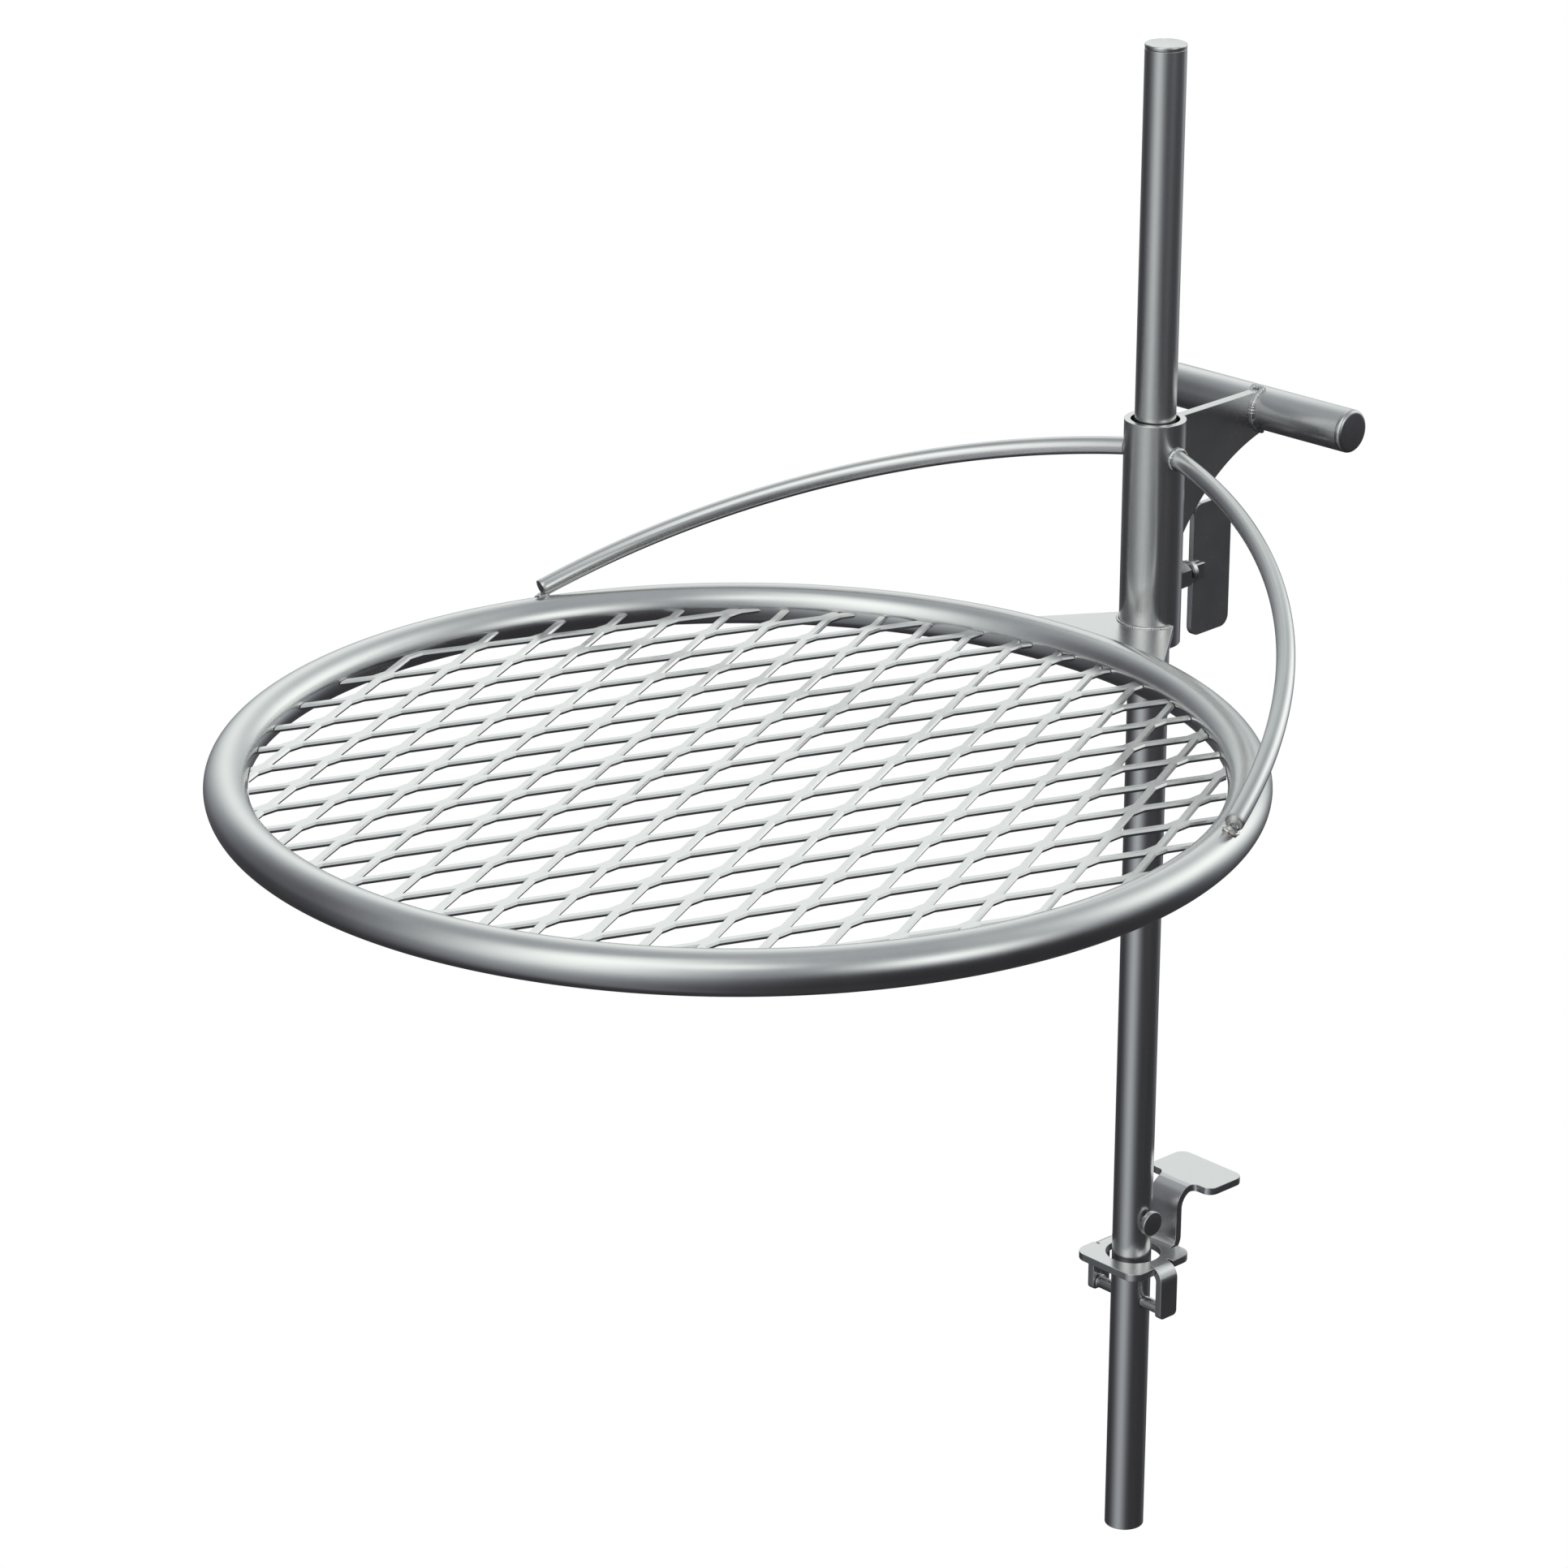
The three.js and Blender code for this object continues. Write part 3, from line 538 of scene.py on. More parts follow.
# Look of the steels
CLOUD_SCALE = 28
GRAIN_SCALE = 900
GRAIN_SHARE = 0.25  # of the fine grain in the tone, whose rest is cloud
GRAIN_HEIGHT = 0.00004
TONE_BAND = (0.36, 0.64)  # levels of the noise at the dark and the light tone
ROUGH_BAND = (0.35, 0.65)
HEAT_BAND = (0.54, 0.64)


def heated(tree, clouds, tone, tint):
    """A tone that turns to the tint where the clouds are thick."""
    mix = tree.nodes.new("ShaderNodeMix")
    mix.data_type = "RGBA"
    tree.links.new(ramp(tree, clouds, zip(HEAT_BAND, (0.0, 1.0))), mix.inputs["Factor"])
    tree.links.new(tone, mix.inputs["A"])
    mix.inputs["B"].default_value = (*tint, 1)
    return mix.outputs["Result"]


def steel(slot, light, dark, rough, grain, cloud=CLOUD_SCALE, stretch=(1, 1, 1), burnt=None):
    """Satin stainless steel: cloudy tone and roughness, with fine grain in the bump.

    rough is the least and the most roughness, and stretch draws the clouds and the grain out as brushing.
    """
    material = bpy.data.materials.new("fine_" + slot)
    material["slot"] = slot
    material.use_nodes = True
    tree = material.node_tree
    tree.nodes.clear()
    there = tree.nodes.new("ShaderNodeTexCoord").outputs["Object"]
    place = node_of(tree, "ShaderNodeMapping", Vector=there, Scale=stretch).outputs["Vector"]
    noise = "ShaderNodeTexNoise"
    clouds = node_of(tree, noise, Vector=place, Scale=cloud, Detail=4.0, Roughness=0.6).outputs["Fac"]
    speckle = node_of(tree, noise, Vector=place, Scale=GRAIN_SCALE, Detail=1.0, Roughness=0.5).outputs["Fac"]
    cloudy = maths(tree, "MULTIPLY", clouds, 1 - GRAIN_SHARE)
    mixed = maths(tree, "MULTIPLY_ADD", speckle, GRAIN_SHARE, cloudy)
    tone = ramp(tree, mixed, zip(TONE_BAND, (dark, light)))
    if burnt:
        tone = heated(tree, clouds, tone, burnt)
    span = node_of(
        tree, "ShaderNodeMapRange", Value=mixed, From_Min=ROUGH_BAND[0], From_Max=ROUGH_BAND[1],
        To_Min=rough[0], To_Max=rough[1])
    bump = node_of(tree, "ShaderNodeBump", Height=speckle, Strength=grain, Distance=GRAIN_HEIGHT)
    shader = node_of(
        tree, "ShaderNodeBsdfPrincipled", Base_Color=tone, Roughness=span.outputs["Result"], Metallic=1.0,
        Normal=bump.outputs["Normal"])
    node_of(tree, "ShaderNodeOutputMaterial", Surface=shader.outputs["BSDF"])
    return material


PALE_STEEL = (0.74, 0.74, 0.73)
LIGHT_STEEL = (0.69, 0.69, 0.68)
SOFT_STEEL = (0.655, 0.655, 0.648)
MID_STEEL = (0.62, 0.62, 0.615)
DARK_STEEL = (0.56, 0.56, 0.56)
HEAT_TINT = (0.22, 0.13, 0.08)

TUBE = steel("satin_tube", LIGHT_STEEL, SOFT_STEEL, (0.22, 0.27), 0.15)
UPRIGHT = steel("satin_tube", LIGHT_STEEL, SOFT_STEEL, (0.19, 0.25), 0.2, stretch=(1, 1, 0.03))
SHEET_STEEL = steel("bracket_sheet", LIGHT_STEEL, SOFT_STEEL, (0.22, 0.28), 0.15)
PLATE_STEEL = steel("plate", LIGHT_STEEL, SOFT_STEEL, (0.22, 0.28), 0.15)
MESH_STEEL = steel("expanded_metal", PALE_STEEL, LIGHT_STEEL, (0.20, 0.26), 0.12, cloud=60)
CAP_STEEL = steel("bright_cap", LIGHT_STEEL, LIGHT_STEEL, (0.22, 0.28), 0.15)
BAR_STEEL = steel("dull_bar", MID_STEEL, DARK_STEEL, (0.20, 0.26), 0.2)
FASTENER_STEEL = steel("fastener", LIGHT_STEEL, MID_STEEL, (0.16, 0.22), 0.15)
BEAD_STEEL = steel("weld_bead", LIGHT_STEEL, MID_STEEL, (0.16, 0.24), 0.4, cloud=240)
BURNT_STEEL = steel("weld_bead", LIGHT_STEEL, MID_STEEL, (0.16, 0.28), 0.6, cloud=240, burnt=HEAT_TINT)


# Rim bracket, drawn flat and then folded
COLLAR_TOP = SHEET - COLLAR_DROP
HOOK_HALF = -BRACKET_LOW.x
FOLD_UP = UPPER_BEND_INNER + SHEET / 2  # middle radius of the upper fold
FOLD_LOW = LOWER_BEND_INNER + SHEET / 2
FOLD_EAR = EAR_BEND_INNER + SHEET / 2
UPPER_START = HOOK_HALF
UPPER_END = UPPER_START + FOLD_UP * math.pi / 2
UPPER_CENTRE_Z = -UPPER_BEND_INNER
NECK_BACK = HOOK_HALF + UPPER_BEND_INNER
LOWER_CENTRE_X = NECK_BACK + SHEET + LOWER_BEND_INNER
LOWER_CENTRE_Z = COLLAR_TOP + LOWER_BEND_INNER
LOWER_START = UPPER_END + UPPER_CENTRE_Z - LOWER_CENTRE_Z
LOWER_END = LOWER_START + FOLD_LOW * math.pi / 2
COLLAR_FAR = BRACKET_HIGH.x
COLLAR_NEAR = COLLAR_FAR - COLLAR_WIDTH
COLLAR_MIDDLE = (COLLAR_FAR + COLLAR_NEAR) / 2
EAR_FOLD = BRACKET_HIGH.y - EAR_BEND_INNER - SHEET
EAR_FOLD_END = EAR_FOLD + FOLD_EAR * math.pi / 2
EAR_CENTRE_Z = COLLAR_TOP - SHEET - EAR_BEND_INNER
EAR_END = EAR_FOLD_END + EAR_CENTRE_Z - BRACKET_LOW.z


def folded(point):
    """Where a point of the flat sheet lies once the neck and the ears are folded."""
    along, aside, up = point
    if along <= UPPER_START:
        return Vector((along, aside, up))
    beside_neck = abs(aside) > (NECK_WIDTH + SLIT) / 2
    if along <= UPPER_END:
        angle = (along - UPPER_START) / FOLD_UP
        radius = UPPER_BEND_INNER + up
        x = HOOK_HALF + radius * math.sin(angle)
        return Vector((x, aside, UPPER_CENTRE_Z + radius * math.cos(angle)))
    if along <= LOWER_START:
        return Vector((NECK_BACK + up, aside, UPPER_CENTRE_Z - (along - UPPER_END)))
    if along <= LOWER_END and not beside_neck:
        angle = (along - LOWER_START) / FOLD_LOW
        radius = LOWER_BEND_INNER + SHEET - up
        x = LOWER_CENTRE_X - radius * math.cos(angle)
        return Vector((x, aside, LOWER_CENTRE_Z - radius * math.sin(angle)))
    x = LOWER_CENTRE_X + along - LOWER_END
    over = abs(aside) - EAR_FOLD
    if over <= 0 or abs(x - COLLAR_MIDDLE) > (EAR_WIDTH + SLIT) / 2:
        return Vector((x, aside, COLLAR_TOP - SHEET + up))
    side = math.copysign(1, aside)
    radius = EAR_BEND_INNER + up
    if abs(aside) <= EAR_FOLD_END:
        angle = over / FOLD_EAR
        y = side * (EAR_FOLD + radius * math.sin(angle))
        return Vector((x, y, EAR_CENTRE_Z + radius * math.cos(angle)))
    return Vector((x, side * (EAR_FOLD + radius), EAR_CENTRE_Z - (abs(aside) - EAR_FOLD_END)))


def bracket_outline():
    """One half of the flat sheet's outline, on the +Y side, and its mirror image."""
    def along(x):
        return LOWER_END + x - LOWER_CENTRE_X

    neck = NECK_WIDTH / 2
    ear_near = along(COLLAR_MIDDLE - EAR_WIDTH / 2)
    ear_far = along(COLLAR_MIDDLE + EAR_WIDTH / 2)
    half = [
        (along(COLLAR_FAR), COLLAR_WIDTH / 2, COLLAR_CORNER),
        (ear_far + SLIT, COLLAR_WIDTH / 2, 0),
        (ear_far + SLIT, EAR_FOLD, 0),
        (ear_far, EAR_FOLD, 0),
        (ear_far, EAR_END, EAR_CORNER),
        (ear_near, EAR_END, EAR_CORNER),
        (ear_near, EAR_FOLD, 0),
        (ear_near - SLIT, EAR_FOLD, 0),
        (ear_near - SLIT, COLLAR_WIDTH / 2, 0),
        (along(COLLAR_NEAR), COLLAR_WIDTH / 2, COLLAR_CORNER),
        (along(COLLAR_NEAR), neck + SLIT, 0),
        (LOWER_END, neck + SLIT, 0),
        (LOWER_END, neck, 0),
        (UPPER_START, neck, NECK_ROOT_FILLET),
        (UPPER_START, HOOK_WIDTH / 2, HOOK_CORNER),
        (-HOOK_HALF, HOOK_WIDTH / 2, HOOK_CORNER),
    ]
    mirrored = [(x, -y, radius) for x, y, radius in reversed(half)]
    return filleted(half + mirrored)


def rim_bracket():
    """The plate that hooks over the rim, with its fillets, slits and folds."""
    hole = circle(LOWER_END + COLLAR_MIDDLE - LOWER_CENTRE_X, 0, COLLAR_HOLE_RADIUS)
    flat = plate(bracket_outline(), 0, SHEET, EDGE, [hole])
    bm = bmesh.new()
    bm.from_mesh(flat)
    folds = [(X_AXIS, UPPER_START, UPPER_END), (X_AXIS, LOWER_START, LOWER_END)]
    folds += [(Y_AXIS, EAR_FOLD, EAR_FOLD_END), (Y_AXIS, -EAR_FOLD_END, -EAR_FOLD)]
    for way, start, end in folds:
        for reach in spread(start, end, BEND_STEPS):
            everything = bm.verts[:] + bm.edges[:] + bm.faces[:]
            bmesh.ops.bisect_plane(bm, geom=everything, plane_co=way * reach, plane_no=way, dist=SAME_PLACE)
    for vertex in bm.verts:
        vertex.co = folded(vertex.co)
    bmesh.ops.dissolve_limit(bm, angle_limit=DEAD_FLAT, verts=bm.verts[:], edges=bm.edges[:])
    piece("folded_bracket", mesh_of(bm), "bracket", SHEET_STEEL, "rim_bracket", flat=True)


def cross_rod():
    """The rod between the ears, and the bead at each of its ends."""
    place = Matrix.Translation(ROD)
    rod = moved(round_bar(ROD_RADIUS, -ROD_HALF, ROD_HALF, FINE_EDGE, ROD_SIDES), ALONG_Y)
    piece("turned_cross_rod", rod, "bracket", BAR_STEEL, "cross_rod", place)
    arc = around(0, 0, ROD_RADIUS + FIT, spread(*ROD_BEAD_ARC, ROD_BEAD_STEPS))
    for side, name in SIDES:
        path = [Vector((x, side * (ROD_HALF - ROD_BEAD_INSET), z)) for x, z in arc]
        fillet = bead(path, ROD_BEAD_RADIUS, Y_AXIS)
        piece("rod_fillet_" + name, fillet, "bracket", BEAD_STEEL, "rod_weld_" + name, place)


# Post
def post_tube():
    """The tube with its two cross holes."""
    tube = round_tube(POST_RADIUS, POST_RADIUS - POST_WALL, POST_LOW, POST_HIGH, FINE_EDGE)
    reach = POST_RADIUS * 2
    rod_hole = moved(round_bar(ROD_RADIUS + FIT, -reach, reach, FINE_EDGE, ROD_SIDES), ALONG_Y)
    pin_hole = moved(round_bar(PIN_RADIUS + FIT, -reach, reach, FINE_EDGE, ROD_SIDES), ALONG_Y)
    rod_hole = moved(rod_hole, Matrix.Translation((0, 0, ROD.z)))
    tube = cut(tube, rod_hole, moved(pin_hole, Matrix.Translation((0, 0, PIN.z))))
    piece("drawn_post", tube, "post", UPRIGHT, "post_tube", AT_POST, flat=True)


def post_cap():
    """The top disc with its ground weld, which wavers a little round the edge."""
    mesh = round_bar(POST_RADIUS, POST_HIGH + CAP_GAP, CAP_HIGH, CAP_ROUND)
    for vertex in mesh.vertices:
        x, y, z = vertex.co
        off_rim = abs(math.hypot(x, y) - POST_RADIUS + CAP_ROUND) / CAP_ROUND
        near = max(0, 1 - off_rim) * (z > POST_HIGH + CAP_ROUND)
        vertex.co.z -= near * CAP_WAVER * (1 + waves(math.atan2(y, x), CAP_WAVES))
    piece("capped_top", mesh, "swivel", CAP_STEEL, "post_top_cap", AT_POST)


def stop_pin():
    """The pin with its round head, drawn up the Z axis and laid along Y."""
    head_start = PIN_HIGH - PIN_HEAD_THICKNESS
    head = round_bar(PIN_HEAD_RADIUS, head_start, PIN_HIGH, PIN_HEAD_ROUND, PIN_HEAD_SIDES)
    shank = round_bar(PIN_RADIUS, PIN_LOW, (head_start + PIN_HIGH) / 2, FINE_EDGE, ROD_SIDES)
    pin = moved(combined(head, shank, "UNION"), ALONG_Y)
    place = AT_POST @ Matrix.Translation((0, 0, PIN.z))
    piece("headed_stop_pin", pin, "post", BAR_STEEL, "stop_pin", place)


# Sleeve and ring
def sleeve():
    """The tube that slides on the post, with the screw's hole."""
    tube = round_tube(SLEEVE_RADIUS, SLEEVE_BORE_RADIUS, SLEEVE_LOW, SLEEVE_HIGH, EDGE)
    hole = moved(round_bar(SCREW_RADIUS + FIT, -SLEEVE_RADIUS * 2, 0, FINE_EDGE, ROD_SIDES), ALONG_X)
    tube = cut(tube, moved(hole, Matrix.Translation((0, 0, LOCK_Z))))
    piece("sliding_sleeve", tube, "grate", UPRIGHT, "sleeve", CARRIAGE, flat=True)


def ring_tube():
    """The bent tube, whose two ends are welded and dressed smooth."""
    path = [point.to_3d() for point in circle(0, 0, RING_RADIUS, RING_STEPS)]
    mesh = sweep(path, [RING_TUBE_RADIUS] * RING_STEPS, RING_SIDES, Z_AXIS, closed=True)
    place = CARRIAGE @ Matrix.Translation((RING_REACH, 0, RING.z))
    piece("bent_ring", mesh, "grate", TUBE, "ring_tube", place)


# Grille of expanded metal
def shifted(corners, shifts):
    """An outline whose edges are moved inwards, each by its own distance."""
    count = len(corners)
    lines = []
    for i, shift in enumerate(shifts):
        start, end = Vector(corners[i]), Vector(corners[(i + 1) % count])
        way = (end - start).normalized()
        inward = Vector((-way.y, way.x)) * shift
        lines.append((start + inward, way))
    points = []
    for i in range(count):
        (p, a), (q, b) = lines[i - 1], lines[i]
        share = (q - p).cross(b) / a.cross(b)
        points.append(p + a * share)
    return points


def grid_opening():
    """Levels of one opening: height and outline, whose walls leave each strand a ridge and an undercut."""
    tip = (GRID_PITCH_LONG - GRID_BOND) / 2
    flat = GRID_BOND / 2
    rise = GRID_PITCH_SHORT / 2 - GRID_STRAND
    corners = [(-tip, 0), (-flat, -rise), (flat, -rise), (tip, 0), (flat, rise), (-flat, rise)]
    depth = GRID_HIGH - GRID_LOW
    half = len(corners) // 2
    straight = shifted(corners, [0] * len(corners))
    ridge = shifted(corners, [GRID_RIDGE] * half + [-GRID_LEAN] * half)
    foot = shifted(corners, [-GRID_LEAN] * half + [-GRID_UNDERCUT] * half)
    return [(depth, straight), (0, straight), (-GRID_RIDGE_DROP, ridge), (-depth, foot), (-2 * depth, foot)]


def openings_mesh():
    """Every opening of the grille as one mesh of separate plugs."""
    levels = grid_opening()
    sides = len(levels[0][1])
    vertices, faces = [], []
    rows = math.ceil(GRID_RADIUS / GRID_PITCH_SHORT) + 1
    columns = 2 * math.ceil(GRID_RADIUS / GRID_PITCH_LONG) + 2
    for column in range(-columns, columns + 1):
        for row in range(-rows, rows + 1):
            x = column * GRID_PITCH_LONG / 2
            y = (row + column % 2 / 2) * GRID_PITCH_SHORT + GRID_SHIFT
            if math.hypot(x, y) > GRID_RADIUS + GRID_PITCH_LONG / 2:
                continue
            start = len(vertices)
            for height, outline in levels:
                vertices += [(x + point.x, y + point.y, height) for point in outline]
            for here in range(start, len(vertices) - sides, sides):
                faces += band(here, here + sides, sides)
            faces.append(range(start, start + sides))
            faces.append(range(len(vertices) - sides, len(vertices)))
    return mesh_from(vertices, faces)


def largest_body(mesh):
    """The body with most faces, without the strand ends that the round cut leaves loose."""
    bm = bmesh.new()
    bm.from_mesh(mesh)
    bmesh.ops.remove_doubles(bm, verts=bm.verts[:], dist=SAME_PLACE)
    left = set(bm.faces)
    bodies = []
    while left:
        seed = left.pop()
        body, front = {seed}, [seed]
        while front:
            for loop in front.pop().loops:
                for near in loop.edge.link_faces:
                    if near in left:
                        left.discard(near)
                        body.add(near)
                        front.append(near)
        bodies.append(body)
    keep = max(bodies, key=len)
    bmesh.ops.delete(bm, geom=[face for face in bm.faces if face not in keep], context="FACES")
    bmesh.ops.dissolve_limit(bm, angle_limit=DEAD_FLAT, verts=bm.verts[:], edges=bm.edges[:])
    return mesh_of(bm)


def grille():
    """The round net, cut from a disc with one plug for each opening."""
    depth = GRID_HIGH - GRID_LOW
    disc = lathe([(0, -depth), (GRID_RADIUS, -depth), (GRID_RADIUS, 0), (0, 0)], GRILLE_SIDES)
    mesh = largest_body(cut(disc, openings_mesh()))
    place = CARRIAGE @ Matrix.Translation((RING_REACH, 0, GRID_HIGH))
    piece("expanded_grille", mesh, "grate", MESH_STEEL, "grille", place, sharp=FACET)


# Web plate
def web_outline():
    """The plate from above: round the sleeve, along its two straight edges and round the ring."""
    inner = SLEEVE_RADIUS + FIT
    outer = RING_OUTER_RADIUS + FIT
    ends = []
    for side in (-1, 1):
        start = Vector((0, side * inner))
        way = Vector((math.cos(WEB_FLARE), side * math.sin(WEB_FLARE)))
        to_middle = start - Vector((RING_REACH, 0))
        b = to_middle.dot(way)
        c = to_middle.length_squared - outer ** 2
        ends.append(start + way * (-b - math.sqrt(b * b - c)))
    first, last = (math.atan2(p.y, p.x - RING_REACH) % (2 * math.pi) for p in ends)
    at_sleeve = around(0, 0, inner, spread(math.pi / 2, -math.pi / 2, WEB_SLEEVE_STEPS))
    return at_sleeve + around(RING_REACH, 0, outer, spread(first, last, WEB_RING_STEPS))


def web_plate():
    """The flared plate between the sleeve and the ring, with a bead above and below."""
    mesh = plate(web_outline(), WEB_LOW, WEB_HIGH, EDGE)
    piece("flared_web", mesh, "grate", PLATE_STEEL, "web_plate", CARRIAGE, flat=True)
    reach = SLEEVE_RADIUS + FIT + WEB_BEAD_OFF
    arc = around(0, 0, reach, spread(*WEB_BEAD_ARC, WEB_BEAD_STEPS))
    for z, name in ((WEB_HIGH, "top"), (WEB_LOW, "bottom")):
        mesh = bead([Vector((x, y, z)) for x, y in arc], WEB_BEAD_RADIUS, Z_AXIS)
        piece("web_bead_" + name, mesh, "grate", BEAD_STEEL, "web_weld_" + name, CARRIAGE)


# Arch rods
ARCH_DOWN = Vector((math.cos(ARCH_SLOPE), 0, -math.sin(ARCH_SLOPE)))
ARCH_NORMAL = Vector((math.sin(ARCH_SLOPE), 0, math.cos(ARCH_SLOPE)))
ARCH_CENTRE = Vector((0, -ARCH_ASIDE, SLEEVE_LOW + ARCH_RISE)) + ARCH_DOWN * ARCH_ALONG


def arch_point(angle):
    """A point of the arch's middle line on the +Y side."""
    return ARCH_CENTRE + (ARCH_DOWN * math.cos(angle) + Y_AXIS * math.sin(angle)) * ARCH_RADIUS


def arch_root():
    """The angle where the arch's middle line comes out of the sleeve."""
    def outside(angle):
        point = arch_point(angle)
        return point.to_2d().length >= SLEEVE_RADIUS and point.y >= 0

    return last_where(ARCH_END, math.pi, outside)


def arch_collar(root):
    """The bead round the rod where it leaves the sleeve, pressed against the sleeve's wall."""
    place = arch_point(root)
    along = (arch_point(root - ARCH_GLANCE) - place).normalized()
    side_way = Z_AXIS.cross(along).normalized()
    up_way = along.cross(side_way)
    path = []
    for angle in spread(0, 2 * math.pi, ARCH_BEAD_STEPS)[:-1]:
        way = side_way * math.cos(angle) + up_way * math.sin(angle)
        point = place + way * (ARCH_ROD_RADIUS + ARCH_BEAD_OFF)
        outward = point.to_2d()
        slope = abs(along.to_2d().dot(outward.normalized()))
        sunk = max(0.0, SLEEVE_RADIUS + ARCH_BEAD_LIFT - outward.length)
        path.append(point + along * (sunk / max(ARCH_BEAD_SLOPE, slope)))
    return bead(path, ARCH_BEAD_RADIUS, along, closed=True)


def arch_foot():
    """The lumpy pad of weld that joins the arch rod's end to the ring's crown."""
    place = arch_point(ARCH_END)
    middle = Vector((RING_REACH, 0, RING.z))
    outward = (place - middle).to_2d().normalized().to_3d()
    core = middle + outward * RING_RADIUS
    towards = (place - core).normalized()
    contact = core + towards * RING_TUBE_RADIUS
    bm = bmesh.new()
    bmesh.ops.create_icosphere(bm, subdivisions=4, radius=FOOT_RADIUS)
    for vertex in bm.verts:
        x, y, z = (length * count for length, count in zip(vertex.co, FOOT_WAVES))
        vertex.co *= 1 + FOOT_LUMP * math.sin(x + 1) * math.sin(y) + FOOT_RIPPLE * math.sin(z)
    turn = towards.to_track_quat("Z", "X").to_matrix().to_4x4()
    bm.transform(Matrix.Translation(contact) @ turn @ Matrix.Diagonal((*FOOT_SHAPE, 1)))
    return mesh_of(bm)


def arch_rods():
    """The two bent rods, each with its collar of weld at the sleeve and its pad on the ring."""
    root = arch_root()
    angles = spread(root + ARCH_ROD_RADIUS / ARCH_RADIUS, ARCH_END, ARCH_STEPS)
    points, radii = flat_ended([arch_point(a) for a in angles], ARCH_ROD_RADIUS, FINE_EDGE)
    sleeve_core = round_bar(SLEEVE_RADIUS + FIT, SLEEVE_LOW, SLEEVE_HIGH, FINE_EDGE)
    for side, name in SIDES:
        mirror = Matrix.Diagonal((1, side, 1, 1))
        rod = moved(cut(sweep(points, radii, ROD_SIDES, ARCH_NORMAL), sleeve_core.copy()), mirror)
        piece("arched_rod_" + name, rod, "grate", TUBE, "arch_rod_" + name, CARRIAGE)
        collar = moved(cut(arch_collar(root), sleeve_core.copy()), mirror)
        piece("arch_collar_" + name, collar, "grate", BEAD_STEEL, "arch_root_weld_" + name, CARRIAGE)
        foot = moved(arch_foot(), mirror)
        piece("arch_foot_" + name, foot, "grate", BURNT_STEEL, "arch_end_weld_" + name, CARRIAGE)


# Gusset and handle
def gusset_outline():
    """The gusset in X and Z: straight at the sleeve and on top, round the handle, arched below."""
    arc_z = SLEEVE_HIGH - GUSSET_ARC_DROP
    grip = HANDLE_RADIUS + FIT
    near = -(SLEEVE_RADIUS + FIT)

    def above_arc(angle):
        x = -HANDLE_REACH + grip * math.cos(angle)
        z = HANDLE_Z - grip * math.sin(angle)
        return math.hypot(x + GUSSET_ARC_REACH, z - arc_z) > GUSSET_ARC_RADIUS

    top = math.asin((GUSSET_HIGH - HANDLE_Z) / grip)
    bottom = -last_where(0.0, math.pi / 2, above_arc)
    points = [Vector((near, GUSSET_HIGH))]
    points += around(-HANDLE_REACH, HANDLE_Z, grip, spread(top, bottom, GUSSET_GRIP_STEPS))
    first = math.acos(min(1, (points[-1].x + GUSSET_ARC_REACH) / GUSSET_ARC_RADIUS))
    last = math.acos((near + GUSSET_ARC_REACH) / GUSSET_ARC_RADIUS)
    arc = spread(first, last, GUSSET_ARC_STEPS)[1:]
    return points + around(-GUSSET_ARC_REACH, arc_z, GUSSET_ARC_RADIUS, arc)


def gusset():
    """The upright plate between the sleeve and the handle."""
    flat = plate(gusset_outline(), -GUSSET_THICKNESS / 2, GUSSET_THICKNESS / 2, EDGE)
    piece("arched_gusset", moved(flat, RAISED), "grate", PLATE_STEEL, "gusset", CARRIAGE, flat=True)


def handle_cap():
    """One end disc of the handle up the Z axis, rounded outside."""
    inner = HANDLE_HALF - HANDLE_CAP
    return lathe([
        (0, inner),
        *soft_corner(HANDLE_RADIUS - HAIRLINE, inner + HAIRLINE, HAIRLINE, -math.pi / 2),
        *soft_corner(HANDLE_RADIUS - HANDLE_CAP_ROUND, HANDLE_HALF - HANDLE_CAP_ROUND, HANDLE_CAP_ROUND, 0,
                     CORNER_STEPS),
        (0, HANDLE_HALF),
    ])


def handle_bead(side):
    """The bead that runs up round the handle on one side of the gusset, and over the gusset's top."""
    aside = side * (GUSSET_THICKNESS / 2 + HANDLE_BEAD_OFF)
    top = math.asin((GUSSET_HIGH - HANDLE_Z) / HANDLE_RADIUS) + HANDLE_BEAD_PAST
    arc = around(0, 0, HANDLE_RADIUS + HANDLE_BEAD_OFF, spread(HANDLE_BEAD_START, top, HANDLE_BEAD_STEPS))
    path = [Vector((x, aside, z)) for x, z in arc]
    over = spread(aside, -aside * HANDLE_BEAD_OVERLAP, HANDLE_CROSS_STEPS)[1:]
    path += [Vector((path[-1].x, y, path[-1].z)) for y in over]
    return bead(path, HANDLE_BEAD_RADIUS, X_AXIS)


def handle():
    """The cross tube with its end discs and its beads on the gusset."""
    place = CARRIAGE @ Matrix.Translation((-HANDLE_REACH, 0, HANDLE_Z))
    half = HANDLE_HALF - HANDLE_CAP - HAIRLINE
    tube = moved(round_bar(HANDLE_RADIUS, -half, half, HAIRLINE), ALONG_Y)
    piece("handle_grip", tube, "grate", TUBE, "handle_tube", place)
    for side, name in SIDES:
        cap = moved(handle_cap(), Matrix.Diagonal((1, side, 1, 1)) @ ALONG_Y)
        piece("handle_end_" + name, cap, "grate", BAR_STEEL, "handle_cap_" + name, place)
        piece("handle_bead_" + name, handle_bead(side), "grate", BEAD_STEEL, "handle_weld_" + name, place)


